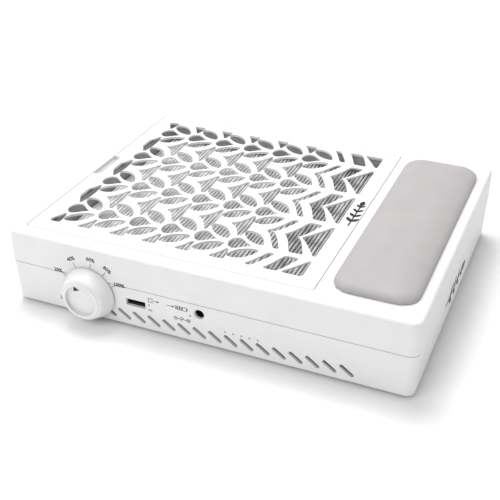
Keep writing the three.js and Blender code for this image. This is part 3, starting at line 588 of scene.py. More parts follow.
def top_shell():
    """The upper shell, with the filter's well, the cover's ledge and the finger notch."""
    edge = PARTING_EDGE
    low = PARTING_TOP + PARTING_SETBACK
    rings = [case_ring(edge, low), case_ring(0, low + edge)]
    rings += [case_ring(inset, CASE_TOP - drop) for inset, drop in rounding(TOP_ROUNDING, 0, 90, 8)]
    rim = 0.35 * MM
    rings += [cover_ring(SEAM + margin, CASE_TOP - drop) for margin, drop in rounding(rim, 90, 0, 4)]
    rings.append(cover_ring(SEAM, LEDGE_TOP))
    rings += [well_ring(margin, LEDGE_TOP - drop) for margin, drop in rounding(rim, 90, 0, 3)]
    under_seat = SEAT_TOP - SEAT_THICKNESS
    under_ledge = LEDGE_TOP - LEDGE_THICKNESS
    under_top = CASE_TOP - WALL
    rings += [
        well_ring(0, SEAT_TOP), well_ring(-SEAT_WIDTH, SEAT_TOP),
        well_ring(-SEAT_WIDTH, under_seat), well_ring(WELL_WALL, under_seat),
        well_ring(WELL_WALL, under_ledge), cover_ring(WALL, under_ledge),
        cover_ring(WALL, under_top), case_ring(WALL, under_top), case_ring(WALL, low),
    ]
    mesh = loft("top_shell_skin", rings, closed=True)

    left, right, front, back, floor = notch_box()
    wall = 1.8 * MM
    scoop = 3.6 * MM
    block = box_mesh("block", (left - wall, front - wall, floor - wall),
                     (right + 0.4 * MM, back + wall, LEDGE_TOP - MM))
    mesh = boolean(mesh, block, "UNION")
    pocket = loft("pocket", [
        rounded_ring((left + scoop, front + 1.5 * MM), (right, back - 1.5 * MM), 0, 0.8 * MM, floor, 5),
        rounded_ring((left + 0.6 * MM, front), (right, back), 0, 2.4 * MM, CASE_TOP - 2 * MM, 5),
        rounded_ring((left, front), (right, back), 0, 2.4 * MM, CASE_TOP + 2 * MM, 5),
    ])
    mesh = boolean(mesh, pocket, "DIFFERENCE")
    weighted(case_piece("top_shell_skin", mesh, "top_shell"))


def taper(z):
    """How far the lower wall is drawn in at height z."""
    return LOWER_TAPER - (LOWER_TAPER - LOWER_STEP) * (z - CASE_FLOOR) / (BASE_HIGH.z - CASE_FLOOR)


LOWER_LEAN = math.atan2(LOWER_TAPER - LOWER_STEP, BASE_HIGH.z - CASE_FLOOR)


SLOT_COUNT = 16
SLOT_PITCH = 11.63 * MM
SLOT_FIRST = Vector((-73.3 * MM, 11 * MM))
SLOT_RUN = Vector((7.2 * MM, -5.4 * MM))
SLOT_WIDTH = 2.8 * MM
SLOT_DEPTH = 1.75 * WALL


def slot_cutters():
    cutters = []
    for surface, direction in ((FRONT, -1), (BACK, 1)):
        for i in range(SLOT_COUNT):
            start = (SLOT_FIRST.x + i * SLOT_PITCH, CASE_FLOOR + SLOT_FIRST.y)
            end = (start[0] + SLOT_RUN.x, start[1] + SLOT_RUN.y)
            outline = rounded_bar_outline(start, end, SLOT_WIDTH)
            inset = taper((start[1] + end[1]) / 2)
            cutters.append(flared_cutter("slot", outline, surface - direction * inset, SLOT_DEPTH,
                                         0.25 * MM, direction))
    return cutters


USB_MIDDLE = middle_of("usb_socket")
USB_OPENING = Vector((14.9 * MM, 5.5 * MM))
JACK_MIDDLE = Vector(((JACK_LOW.x + JACK_HIGH.x) / 2, CASE_FLOOR + 24.2 * MM))
JACK_RADIUS = 3.6 * MM
BUSH_RADIUS = 4.5 * MM
LIGHT_PLACES = [middle_of(f"level_light_{i}") for i in range(1, 6)]
LIGHT_HOLE = 0.75 * MM
DIAL_MIDDLE = middle_of("dial")


def port_cutters():
    half_width, half_height = USB_OPENING / 2
    usb = rectangle_outline(USB_MIDDLE.x - half_width, USB_MIDDLE.x + half_width,
                            USB_MIDDLE.z - half_height, USB_MIDDLE.z + half_height, 0.4 * MM)
    cutters = [
        flared_cutter("usb", usb, FRONT + taper(USB_MIDDLE.z), 2 * WALL, 0.2 * MM),
    ]
    holes = [
        (*JACK_MIDDLE, JACK_RADIUS, 48, 0.35 * MM),
        (DIAL_MIDDLE.x, DIAL_MIDDLE.z, BUSH_RADIUS, 32, 0.1 * MM),
    ]
    holes += [(place.x, place.z, LIGHT_HOLE, 16, 0.12 * MM) for place in LIGHT_PLACES]
    for x, z, radius, sides, flare in holes:
        outline = circle_outline(x, z, radius, sides)
        cutters.append(flared_cutter("hole", outline, FRONT + taper(z), 2 * WALL, flare))
    return cutters


def upright_cutter(x, y, radius, low, high, flare=0.0, sides=32):
    """A round cutter along Z, a little wider at its lower end."""
    stations = [(low, radius), (high, radius)]
    if flare:
        wide = radius + flare
        stations = [(low, wide), (CASE_FLOOR, wide), (CASE_FLOOR + flare, radius), (high, radius)]
    rings = [[Vector((*point, z)) for point in circle(x, y, r, sides)] for z, r in stations]
    return loft("upright", rings)


CASE_SCREW_PLACES = [middle_of(f"case_screw_{i}") for i in range(1, 5)]
DECK_SCREW_PLACES = [middle_of(f"deck_screw_{i}") for i in range(1, 5)]
CASE_SCREW_SEAT = CASE_FLOOR + 2.9 * MM
CASE_SCREW_RECESS = 3.3 * MM
CORNER_POST = 5 * MM
CORNER_POST_LOW = CASE_FLOOR + 4.8 * MM
CORNER_POST_DROP = 1.75 * MM
POST = 4.5 * MM
SCREW_PAD_TOP = CASE_FLOOR + 4.5 * MM
MOTOR_PAD = 31 * MM
FOOT_PLACES = [middle_of(f"foot_{i}") for i in range(1, 5)]
FOOT_RECESS = 6.3 * MM


def bottom_shell():
    """The lower shell's walls, with a tongue behind the parting, air slots and ports."""
    edge = PARTING_EDGE
    high = BASE_HIGH.z - PARTING_SETBACK
    tongue = PARTING_TOP + PARTING_SETBACK - 0.08 * MM
    rings = [
        case_ring(WALL + LOWER_TAPER, CASE_FLOOR), case_ring(WALL, tongue),
        case_ring(TONGUE_INSET, tongue), case_ring(TONGUE_INSET, high),
        case_ring(LOWER_STEP + edge, high), case_ring(LOWER_STEP, high - edge),
    ]
    for inset, rise in rounding(0.9 * MM, 0, 90, 5):
        rings.append(case_ring(LOWER_TAPER + inset, CASE_FLOOR + rise))
    mesh = loft("bottom_shell_skin", list(reversed(rings)), closed=True)
    mesh = boolean(mesh, joined_mesh("cutters", slot_cutters() + port_cutters()), "DIFFERENCE")
    weighted(case_piece("bottom_shell_skin", mesh, "bottom_shell"))


def corner_posts():
    """The posts in the lower shell's corners, each with two ribs."""
    meshes = []
    low, high = CORNER_POST_LOW, BASE_HIGH.z - CORNER_POST_DROP
    reach, half, root = 5.2 * MM, 0.8 * MM, 4 * MM
    for place in CASE_SCREW_PLACES:
        sx = 1 if place.x > CASE_MIDDLE.x else -1
        sy = 1 if place.y > CASE_MIDDLE.y else -1
        across = sorted((place.x + sx * root, place.x + sx * reach))
        along = sorted((place.y + sy * root, place.y + sy * reach))
        meshes += [
            upright_cutter(place.x, place.y, CORNER_POST, low, high),
            box_mesh("rib", (across[0], place.y - half, low), (across[1], place.y + half, high)),
            box_mesh("rib", (place.x - half, along[0], low), (place.x + half, along[1], high)),
        ]
    case_piece("corner_posts", joined_mesh("corner_posts", meshes))


def base_plate():
    """The floor, with a softly rounded edge, recesses for the feet and sunk seats for the screws."""
    inset = WALL + LOWER_TAPER + GAP
    edge = 0.3 * MM
    top = CASE_FLOOR + WALL
    mesh = loft("base_plate_skin", [
        case_ring(inset + edge, CASE_FLOOR), case_ring(inset, CASE_FLOOR + edge),
        case_ring(inset, top - edge), case_ring(inset + edge, top),
    ])
    motor = middle_of("motor_base")
    motor_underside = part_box("motor_base")[0].z - GAP
    deck_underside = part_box("fan_deck")[0].z - GAP
    low = CASE_FLOOR + MM
    posts = [upright_cutter(motor.x, motor.y, MOTOR_PAD, low, motor_underside, sides=96)]
    for places, high in ((CASE_SCREW_PLACES, SCREW_PAD_TOP), (DECK_SCREW_PLACES, deck_underside)):
        posts += [upright_cutter(place.x, place.y, POST, low, high) for place in places]
    mesh = boolean(mesh, joined_mesh("posts", posts), "UNION")
    below = CASE_FLOOR - 5 * MM
    cutters = []
    for place in FOOT_PLACES:
        cutters.append(upright_cutter(place.x, place.y, FOOT_RECESS, below, low, 0.25 * MM))
    for place in CASE_SCREW_PLACES:
        cutters.append(upright_cutter(place.x, place.y, CASE_SCREW_RECESS, below, CASE_SCREW_SEAT,
                                      0.4 * MM))
    mesh = boolean(mesh, joined_mesh("cutters", cutters), "DIFFERENCE")
    weighted(case_piece("base_plate_skin", mesh, "base_plate"))


def foot(index):
    """A rubber foot with a soft rim and a slightly hollow sole."""
    name = f"foot_{index}"
    low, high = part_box(name)
    middle = middle_of(name)
    radius = (high.x - low.x) / 2
    height = high.z - low.z
    soft = 0.9 * MM
    profile = [(0, 0.25 * MM), (radius - 2.6 * MM, 0.2 * MM), (radius - 2.2 * MM, 0)]
    profile += around(radius - soft, soft, soft, -90, 0, 6)
    profile += [(radius, height - 0.2 * MM), (radius - 0.2 * MM, height), (0, height)]
    mesh = turned(f"{name}_skin", profile, 48)
    mesh.transform(Matrix.Translation((middle.x, middle.y, low.z)))
    piece_from_mesh(f"{name}_skin", finished(mesh, 50), "casing", RUBBER, [name])


def cross_screw(name, head_down):
    """A pan-head screw with a cross recess, in the place of a CAD screw."""
    low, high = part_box(name)
    middle = middle_of(name)
    radius = (high.x - low.x) / 2
    length = high.z - low.z
    shank = radius * 0.52
    head = 1.5 * MM
    profile = [(0, 0), (shank * 0.4, 0), (shank, 0.8 * MM), (shank, length - head), (radius, length - head)]
    for angle in arc(0, 78, 7):
        profile.append((radius * (0.35 + 0.65 * math.cos(angle)),
                        length - 0.75 * head * (1 - math.sin(angle))))
    profile += [(radius * 0.3, length), (0, length)]
    mesh = turned(f"{name}_skin", profile, 32)
    reach, half = 0.62 * radius, 0.11 * radius
    corners = ((-reach, -half), (reach, -half), (reach, half), (-reach, half))
    for turn in (45, 135):
        blade = loft("blade", [
            [Vector((x * k, y * k, z)) for x, y in corners]
            for k, z in ((0.45, length - 1.1 * MM), (1.0, length + 0.3 * MM))
        ])
        blade.transform(turned_by(turn, "Z"))
        mesh = boolean(mesh, blade, "DIFFERENCE")
    place = Matrix.Translation((middle.x, middle.y, low.z))
    if head_down:
        place = Matrix.Translation((middle.x, middle.y, high.z)) @ Matrix.Rotation(math.pi, 4, "X")
    mesh.transform(place)
    piece_from_mesh(f"{name}_skin", finished(mesh, 30), "casing", STEEL, [name])


# ---------- grille cover ----------

LEAF_PITCH = 25.8 * MM
STEM_PITCH = 48.8 * MM
LEAF_COLUMN = -112 * MM
LEAF_COLUMNS = 6
STEM_ROWS = 4
STEM_ROW = COVER_LOW.y + 35 * MM
WINDOW_LOW = Vector((COVER_LOW.x + 12 * MM, COVER_LOW.y + 13 * MM))
WINDOW_HIGH = Vector((COVER_HIGH.x - 13 * MM, COVER_HIGH.y - 10 * MM))


def bezier_outline(points, steps=14):
    """Closed outline from a start point and then three points per cubic stretch, in millimetres."""
    outline = []
    start = Vector(points[0])
    for i in range(1, len(points), 3):
        a, b, end = (Vector(p) for p in points[i:i + 3])
        for k in range(steps):
            t = k / steps
            left = 1 - t
            outline.append(left ** 3 * start + 3 * left ** 2 * t * a + 3 * left * t * t * b + t ** 3 * end)
        start = end
    return outline


def line_to(start, end):
    """The two control points and the end of a straight stretch."""
    a, b = Vector(start), Vector(end)
    return [a.lerp(b, 1 / 3), a.lerp(b, 2 / 3), b]


def leaf(flip):
    points = [(-8.8, 17.6), (-1, 21), (8.6, 12.5), (9, 3.6), (-0.5, 2.6), (-9.6, 11.5), (-8.8, 17.6)]
    return bezier_outline([(x, flip * y) for x, y in points], 24)


def petal():
    return bezier_outline([
        (1.5, 0), (-3, 1), (-5, 5.5), (-9, 6.6), (-15.6, 5.5), (-15.6, -5.5), (-9, -6.6),
        (-5, -5.5), (-3, -1), (1.5, 0),
    ], 16)


def bud():
    return bezier_outline([
        (2.5, 0), (7, 1.5), (11, 7), (14.2, 15), (16.6, 6), (16.6, -6), (14.2, -15),
        (11, -7), (7, -1.5), (2.5, 0),
    ], 18)


def chevron(tip, inner, reach, height):
    """An open V that points left, between a curve from `tip` and one from `inner`."""
    def arm(start, side):
        return [(start + along * reach, side * across)
                for along, across in ((0.4, 3.5), (0.65, 12), (1, height))]

    points = [(tip, 0), *arm(tip, 1)]
    points += line_to((tip + reach, height), (inner + reach, height))
    points += [*arm(inner, 1)[1::-1], (inner, 0), *arm(inner, -1)]
    points += line_to((inner + reach, -height), (tip + reach, -height))
    points += [*arm(tip, -1)[1::-1], (tip, 0)]
    return bezier_outline(points, 16)


def arrow(tip, reach, height):
    """A filled arrow head that points left, with a straight block behind it."""
    shoulder, end = tip + reach, tip + 2 * reach
    points = [(tip, 0), (tip + 0.35 * reach, 5), (tip + 0.7 * reach, 14), (shoulder, height)]
    corners = [(shoulder, height), (end, height), (end, -height), (shoulder, -height)]
    for corner, following in zip(corners, corners[1:]):
        points += line_to(corner, following)
    points += [(tip + 0.7 * reach, -14), (tip + 0.35 * reach, -5), (tip, 0)]
    return bezier_outline(points, 14)


def clipped(outline):
    """The part of an outline inside the grille's window."""
    for axis in (0, 1):
        for limit, sign in ((WINDOW_LOW[axis], 1), (WINDOW_HIGH[axis], -1)):
            kept = []
            for i, point in enumerate(outline):
                before = outline[i - 1]
                inside = sign * (point[axis] - limit) >= 0
                was_inside = sign * (before[axis] - limit) >= 0
                if inside != was_inside:
                    t = (limit - before[axis]) / (point[axis] - before[axis])
                    kept.append(before.lerp(point, t))
                if inside:
                    kept.append(point)
            outline = kept
            if len(outline) < 3:
                return []
    return outline


def softened(outline, spacing=0.55 * MM, passes=4):
    """The outline with evenly spaced points and slightly rounded corners."""
    lengths = [(outline[i] - outline[i - 1]).length for i in range(len(outline))]
    total = sum(lengths)
    count = max(12, int(total / spacing))
    points = []
    index, walked = 0, 0.0
    for k in range(count):
        target = total * k / count
        while walked + lengths[index] < target:
            walked += lengths[index]
            index += 1
        t = (target - walked) / max(lengths[index], 1e-12)
        points.append(outline[index - 1].lerp(outline[index], t))
    for _ in range(passes):
        points = [(points[i - 1] + 2 * points[i] + points[(i + 1) % count]) / 4 for i in range(count)]
    return points


OPENING_GROWTH = 0.85 * MM


def grown(outline, amount):
    """The outline moved outwards by `amount`."""
    count = len(outline)
    area = sum(outline[i - 1].cross(outline[i]) for i in range(count))
    side = 1 if area > 0 else -1
    moved = []
    for i, point in enumerate(outline):
        along = (outline[(i + 1) % count] - outline[i - 1]).normalized()
        moved.append(point + side * amount * Vector((along.y, -along.x)))
    return moved


def grille_openings():
    """Every opening of the leaf pattern, clipped to the window and softened."""
    drawn = []
    for row in range(STEM_ROWS):
        stem = STEM_ROW + row * STEM_PITCH
        for column in range(LEAF_COLUMNS):
            x = LEAF_COLUMN + column * LEAF_PITCH
            drawn += [(leaf(1), x, stem), (leaf(-1), x, stem), (petal(), x, stem)]
    for row in range(STEM_ROWS + 1):
        middle = STEM_ROW + (row - 0.5) * STEM_PITCH
        for column in range(-1, LEAF_COLUMNS - 1):
            drawn.append((bud(), LEAF_COLUMN + column * LEAF_PITCH, middle))
        drawn += [
            (chevron(21.5, 24.4, 12.5, 20.5), 0, middle),
            (chevron(35, 43.3, 11, 21), 0, middle),
            (arrow(48, 15.6, 21), 0, middle),
        ]
    openings = []
    for outline, x, y in drawn:
        placed = clipped([Vector((x + p.x * MM, y + p.y * MM)) for p in outline])
        if placed:
            openings.append(grown(softened(placed), OPENING_GROWTH))
    return openings


def cover_outline():
    """The cover's edge, with the finger notch in its left side."""
    _, right, front, back, _ = notch_box()
    corner = 3.4 * MM
    middle = (COVER_LOW + COVER_HIGH) / 2
    ring = [point.xy for point in rounded_ring(COVER_LOW, COVER_HIGH, 0, COVER_CORNER, 0, 8)]
    right_side = [p for p in ring if p.x > middle.x]
    upper_left = [p for p in ring if p.x < middle.x and p.y > middle.y]
    lower_left = [p for p in ring if p.x < middle.x and p.y < middle.y]
    notch = [
        (COVER_LOW.x, back), *around(right - corner, back - corner, corner, 90, 0, 6),
        *around(right - corner, front + corner, corner, 0, -90, 6), (COVER_LOW.x, front),
    ]
    return right_side + upper_left + [Vector(point) for point in notch] + lower_left


def plate_from_outlines(name, outlines, low, high, edge, resolution):
    """A flat plate with holes and rounded rims, filled from closed outlines."""
    curve = bpy.data.curves.new(name, "CURVE")
    curve.dimensions = "2D"
    curve.fill_mode = "BOTH"
    curve.extrude = (high - low) / 2 - edge
    curve.bevel_depth = edge
    curve.bevel_resolution = resolution
    curve.offset = -edge
    for outline in outlines:
        spline = curve.splines.new("POLY")
        spline.points.add(len(outline) - 1)
        for target, point in zip(spline.points, outline):
            target.co = (point.x, point.y, 0, 1)
        spline.use_cyclic_u = True
    holder = linked(name, curve)
    mesh = evaluated_mesh(name, holder)
    mesh.transform(Matrix.Translation((0, 0, (low + high) / 2)))
    bpy.data.objects.remove(holder)
    bpy.data.curves.remove(curve)
    return mesh


def grille_cover():
    """A thin grille, with a deeper rim round its window."""
    web = 1.7 * MM
    grille = plate_from_outlines("grille_cover_skin", [cover_outline(), *grille_openings()],
                                 COVER_HIGH.z - web, COVER_HIGH.z, 0.4 * MM, 2)
    window = rounded_ring(WINDOW_LOW, WINDOW_HIGH, 1.5 * MM, 2 * MM, 0, 6)
    rim = plate_from_outlines("grille_rim", [grown(cover_outline(), -0.15 * MM), window],
                              COVER_LOW.z, COVER_HIGH.z - 0.6 * MM, 0.1 * MM, 1)
    mesh = finished(joined_mesh("grille_cover_skin", [grille, rim]), 60)
    weighted(piece_from_mesh("grille_cover_skin", mesh, "cover", GRILLE, ["grille_cover"]))


# ---------- filter ----------

PLEAT_PITCH = 2.85 * MM


def pleated_paper():
    """One folded sheet: rounded folds along Y that wander a little."""
    margin = 0.3 * MM
    x0, x1 = MEDIA_LOW.x + margin, MEDIA_HIGH.x - margin
    y0, y1 = MEDIA_LOW.y + margin, MEDIA_HIGH.y - margin
    thickness = 0.5 * MM
    pleats = int((x1 - x0) / PLEAT_PITCH)
    per_pleat = 8
    columns = pleats * per_pleat
    rows = 40
    middle = (MEDIA_LOW.z + MEDIA_HIGH.z) / 2
    swing = (MEDIA_HIGH.z - MEDIA_LOW.z) / 2 - thickness
    builder = bmesh.new()
    grid = []
    for j in range(rows + 1):
        y = y0 + (y1 - y0) * j / rows
        line = []
        for i in range(columns + 1):
            phase = i / per_pleat
            fold = 1 - 4 * abs(phase % 1 - 0.5)
            height = swing * (1.12 * fold - 0.12 * fold ** 3)
            wander = 0.45 * MM * noise.noise(Vector((phase * 0.45, y * 28, 3.1)))
            lift = 0.35 * MM * noise.noise(Vector((phase * 0.8, y * 35, 9.4)))
            fade = min(1.0, 12 * min(i, columns - i) / columns)
            x = x0 + (x1 - x0) * i / columns
            line.append(builder.verts.new((x + wander * fade, y, middle + height * 0.95 + lift)))
        grid.append(line)
    for j in range(rows):
        for i in range(columns):
            builder.faces.new((grid[j][i], grid[j][i + 1], grid[j + 1][i + 1], grid[j + 1][i]))
    mesh = mesh_from("filter_pleats", builder)
    mesh.shade_smooth()
    piece = piece_from_mesh("filter_pleats", mesh, "filter", PAPER, ["filter_media"])
    sheet = piece.modifiers.new("thickness", "SOLIDIFY")
    sheet.thickness = thickness
    sheet.offset = 0


# ---------- hand rest ----------

PAD_INFLATION = 2.6 * MM
PAD_PRESSURE = 4.0
PAD_FRAMES = 20
PAD_VOXEL = 2.6 * MM
# the cushion's edge is tucked a little below the casing's top, so it meets it in a clean line
PAD_TUCK = 1.6 * MM


def pad_start():
    """The cushion before it's inflated: a slab with upright edges and a wide roll to its crown."""
    low = PAD_LOW.z - PAD_TUCK
    shoulder = PAD_LOW.z + 1.3 * MM
    crown = PAD_HIGH.z - 1.3 * MM
    spread = 0.3 * MM
    roll = 18 * MM
    corner = 15 * MM
    rings = [rounded_ring(PAD_LOW, PAD_HIGH, spread, corner, z, 10) for z in (low, shoulder)]
    for angle in arc(12, 90, 9):
        inset = roll * (1 - math.cos(angle)) - spread
        rings.append(rounded_ring(PAD_LOW, PAD_HIGH, -inset, max(corner - 0.9 * inset, 0.4 * MM),
                                  shoulder + (crown - shoulder) * math.sin(angle), 10))
    return loft("hand_rest_cushion", rings)


def remeshed(mesh, voxel):
    """The mesh with even faces of about `voxel` metres."""
    holder = linked("remeshed", mesh)
    modifier = holder.modifiers.new("remesh", "REMESH")
    modifier.mode = "VOXEL"
    modifier.voxel_size = voxel
    result = evaluated_mesh(mesh.name, holder)
    bpy.data.objects.remove(holder)
    return result


def inflated(mesh, pressure, limit):
    """The mesh after some frames of cloth with air pressure inside and its rim held.

    No point moves over `limit`, or out of the pad's box.
    """
    holder = linked("inflated", mesh)
    before = [vertex.co.copy() for vertex in mesh.vertices]
    rim = holder.vertex_groups.new(name="rim")
    rim.add([i for i, co in enumerate(before) if co.z < PAD_LOW.z + 1.2 * MM], 1.0, "REPLACE")
    cloth = holder.modifiers.new("cloth", "CLOTH")
    settings = cloth.settings
    settings.quality = 6
    settings.mass = 0.2
    settings.tension_stiffness = settings.compression_stiffness = 12
    settings.shear_stiffness = 6
    settings.bending_stiffness = 0.4
    settings.use_pressure = True
    settings.uniform_pressure_force = pressure
    settings.effector_weights.gravity = 0
    settings.vertex_group_mass = "rim"
    for step in range(1, PAD_FRAMES + 1):
        bpy.context.scene.frame_set(step)
    result = evaluated_mesh(mesh.name, holder)
    bpy.context.scene.frame_set(1)
    bpy.data.objects.remove(holder)
    for vertex, start in zip(result.vertices, before):
        moved = vertex.co - start
        if moved.length > limit:
            vertex.co = start + moved.normalized() * limit
        vertex.co.z = min(vertex.co.z, PAD_HIGH.z)
        for axis in (0, 1):
            vertex.co[axis] = min(max(vertex.co[axis], PAD_LOW[axis]), PAD_HIGH[axis])
    return result


def hand_rest_cushion():
    mesh = remeshed(pad_start(), PAD_VOXEL)
    mesh = inflated(mesh, PAD_PRESSURE, PAD_INFLATION)
    mesh.shade_smooth()
    piece = piece_from_mesh("hand_rest_cushion", mesh, "casing", LEATHER, ["hand_rest_pad"])
    smoothing = piece.modifiers.new("smoothing", "SMOOTH")
    smoothing.factor = 0.5
    smoothing.iterations = 6
    finer = piece.modifiers.new("finer", "SUBSURF")
    finer.levels = finer.render_levels = 1


def hand_rest_board():
    """The stiff board inside the cushion's underside."""
    low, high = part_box("hand_rest_base")
    inset = 4.5 * MM
    edge = 0.3 * MM
    corner = 7 * MM
    stations = ((edge, low.z), (0, low.z + edge), (0, high.z - edge), (edge, high.z))
    rings = [rounded_ring(low, high, -inset - margin, corner, z) for margin, z in stations]
    case_piece("hand_rest_board", loft("hand_rest_board", rings), "hand_rest_base")


# ---------- dial and front wall ----------

def facing_front(mesh, x, y, z):
    """Turns a mesh drawn upright so that its +Z looks out of the front wall, at (x, y, z)."""
    mesh.transform(Matrix.Translation((x, y, z)) @ turned_by(90, "X"))
    return mesh


DISH_DEPTH = 2.6 * MM


def dial_cap():
    """The dial: a hollow cap with a hub for the shaft and a dished face."""
    length = DIAL_HIGH.y - DIAL_LOW.y
    radius = (DIAL_HIGH.z - DIAL_LOW.z) / 2
    face = 16 * MM
    bore, hub, under = 3.4 * MM, 6 * MM, length - 5.6 * MM
    profile = [(0, 3 * MM), (bore, 3 * MM), (bore, 2.5 * MM), (hub, 2.5 * MM), (hub, under),
               (face - 2.6 * MM, under), (radius - 2 * MM, 0.2 * MM), (radius - 1.8 * MM, 0),
               (radius - 0.3 * MM, 0), (radius, 0.3 * MM)]
    # the skirt narrows towards the face, then rolls over a round shoulder
    shoulder = 3.4 * MM
    profile.append((radius - 0.5 * MM, 2.5 * MM))
    for angle in arc(8, 90, 12):
        profile.append((face - 0.6 * MM - shoulder + 1.4 * shoulder * math.cos(angle),
                        length - 1.15 * shoulder * (1 - math.sin(angle))))
    # the face's lip, and then the dish
    lip = 0.7 * MM
    dish = 13.4 * MM
    floor = length - DISH_DEPTH
    profile += around(dish + lip, length - lip, lip, 90, 158, 5)
    for angle in arc(20, 90, 5):
        rise = 1 - math.sin(angle)
        profile.append((dish - 1.4 * MM + 1.3 * MM * rise, floor + MM * rise))
    profile.append((0, floor - 0.15 * MM))
    mesh = facing_front(turned("dial_skin", profile, 96), DIAL_MIDDLE.x, DIAL_HIGH.y, DIAL_MIDDLE.z)
    piece_from_mesh("dial_skin", finished(mesh, 40), "dial", HOUSING, ["dial"])


def flat_mark(name, outline, thickness, place):
    """A thin printed mark from a 2-D outline; `place` moves it onto its surface."""
    builder = bmesh.new()
    front = [builder.verts.new((*point, thickness)) for point in outline]
    back = [builder.verts.new((*point, 0)) for point in outline]
    builder.faces.new(front)
    builder.faces.new(list(reversed(back)))
    for i in range(len(outline)):
        builder.faces.new((back[i - 1], back[i], front[i], front[i - 1]))
    mesh = mesh_from(name, builder)
    mesh.transform(place)
    return mesh


POINTER_ANGLE = 119
POINTER_RADIUS = 8.3 * MM
POINTER_TURN = -6


def dial_pointer():
    """A small black triangle in the dish."""
    x = DIAL_MIDDLE.x + POINTER_RADIUS * math.cos(math.radians(POINTER_ANGLE))
    z = DIAL_MIDDLE.z + POINTER_RADIUS * math.sin(math.radians(POINTER_ANGLE))
    half, tip = 2.1 * MM, 2.4 * MM
    outline = [(-half, -half), (tip, 0), (-half, half)]
    place = (Matrix.Translation((x, DIAL_LOW.y + DISH_DEPTH + 0.1 * MM, z))
             @ turned_by(90, "X") @ turned_by(POINTER_TURN, "Z"))
    mesh = flat_mark("dial_pointer", outline, 0.12 * MM, place)
    piece_from_mesh("dial_pointer", finished(mesh), "dial", INK_BLACK)


INK_THICKNESS = 0.05 * MM


def wall_place(x, z, turn=0.0):
    """Puts a flat mark on the front wall, turned by `turn` degrees."""
    surface = FRONT if z > BASE_HIGH.z else FRONT + taper(z)
    lean = 0 if z > BASE_HIGH.z else LOWER_LEAN
    return (Matrix.Translation((x, surface, z)) @ Matrix.Rotation(math.radians(90) + lean, 4, "X")
            @ turned_by(turn, "Z"))


def number_mesh(text, height):
    """A number as a thin mesh, centred on the origin."""
    curve = bpy.data.curves.new("number", "FONT")
    curve.body = text
    curve.size = height
    curve.align_x = "CENTER"
    curve.align_y = "CENTER"
    curve.extrude = INK_THICKNESS / 2
    curve.offset = 0.13 * MM
    curve.resolution_u = 4
    holder = linked("number", curve)
    mesh = evaluated_mesh("number", holder)
    bpy.data.objects.remove(holder)
    bpy.data.curves.remove(curve)
    mesh.transform(Matrix.Translation((0, 0, INK_THICKNESS / 2)))
    return mesh


NUMBER_RADIUS, NUMBER_HEIGHT = 27.5 * MM, 4 * MM
TICK_RADIUS, TICK_LENGTH, TICK_WIDTH = 22.4 * MM, 3.8 * MM, 0.45 * MM
# where each number stands round the dial, in degrees, and how far it's turned
DIAL_STOPS = [
    (205, "0", 0), (153, "20%", 0), (117.5, "40%", 27.5),
    (83, "60%", -7), (54, "80%", -36), (26, "100%", 0),
]


def dial_scale():
    """Numbers round the dial, each with a tick that reaches in to its rim."""
    meshes = []
    for degrees, text, turn in DIAL_STOPS:
        angle = math.radians(degrees)
        direction = Vector((math.cos(angle), 0, math.sin(angle)))
        number = DIAL_MIDDLE + NUMBER_RADIUS * direction
        mesh = number_mesh(text, NUMBER_HEIGHT)
        mesh.transform(wall_place(number.x, number.z, turn))
        meshes.append(mesh)
        tick = DIAL_MIDDLE + TICK_RADIUS * direction
        outline = stroke((-TICK_LENGTH / 2, 0), (TICK_LENGTH / 2, 0), TICK_WIDTH)
        meshes.append(flat_mark("tick", outline, INK_THICKNESS, wall_place(tick.x, tick.z, degrees)))
    piece_from_mesh("dial_scale", joined_mesh("dial_scale", meshes), "casing", INK)


CONTACT_PITCH = 2.3 * MM


def usb_receptacle():
    """A hollow shell with a tongue that carries four contacts."""
    wall = 0.45 * MM
    mouth = USB_LOW.y
    depth = USB_HIGH.y - USB_LOW.y
    outer = ((USB_LOW.x, USB_LOW.z), (USB_HIGH.x, USB_HIGH.z))
    soft = 0.5 * MM
    stations = ((0, 0), (0, depth), (0.15 * MM, depth), (wall, depth - 0.3 * MM), (wall, 1.5 * MM))
    mesh = loft("usb_receptacle", [rounded_ring(*outer, -inset, soft, z, 4) for inset, z in stations])
    facing_front(mesh, 0, USB_HIGH.y, 0)
    piece_from_mesh("usb_receptacle", finished(mesh), "casing", BLACK, ["usb_socket"])
    middle = USB_MIDDLE.x
    half, thickness, setback = 5.5 * MM, 1.8 * MM, 1.8 * MM
    tongue_low = USB_MIDDLE.z - 0.1 * MM
    tongue = box_mesh("usb_tongue", (middle - half, mouth + setback, tongue_low),
                      (middle + half, mouth + depth - MM, tongue_low + thickness))
    piece_from_mesh("usb_tongue", finished(tongue), "casing", BLACK)
    contacts = []
    for k in range(4):
        x = middle + (k - 1.5) * CONTACT_PITCH
        contacts.append(box_mesh("contact", (x - 0.5 * MM, mouth + 2.2 * MM, tongue_low - 0.12 * MM),
                                 (x + 0.5 * MM, mouth + 9 * MM, tongue_low + 0.1 * MM)))
    piece_from_mesh("usb_contacts", finished(joined_mesh("usb_contacts", contacts)), "casing", GOLD)


def charging_pin():
    """The charging socket's ring and its centre pin."""
    depth = 9 * MM
    ring = turned("charging_ring", in_mm(
        (3.05, 0), (3.05, 9), (3.5, 9), (3.6, 8.85), (3.6, 0), (3.05, 0),
    ), 48)
    facing_front(ring, JACK_MIDDLE.x, JACK_LOW.y + depth - 0.6 * MM, JACK_MIDDLE.y)
    piece_from_mesh("charging_ring", finished(ring), "casing", BLACK)
    pin = turned("charging_pin", in_mm((0, 0), (1, 0), (1, 5.3), (0.7, 6), (0.3, 6.2), (0, 6.2)), 24)
    facing_front(pin, JACK_MIDDLE.x, JACK_LOW.y + depth + 0.6 * MM, JACK_MIDDLE.y)
    piece_from_mesh("charging_pin", finished(pin), "casing", STEEL)


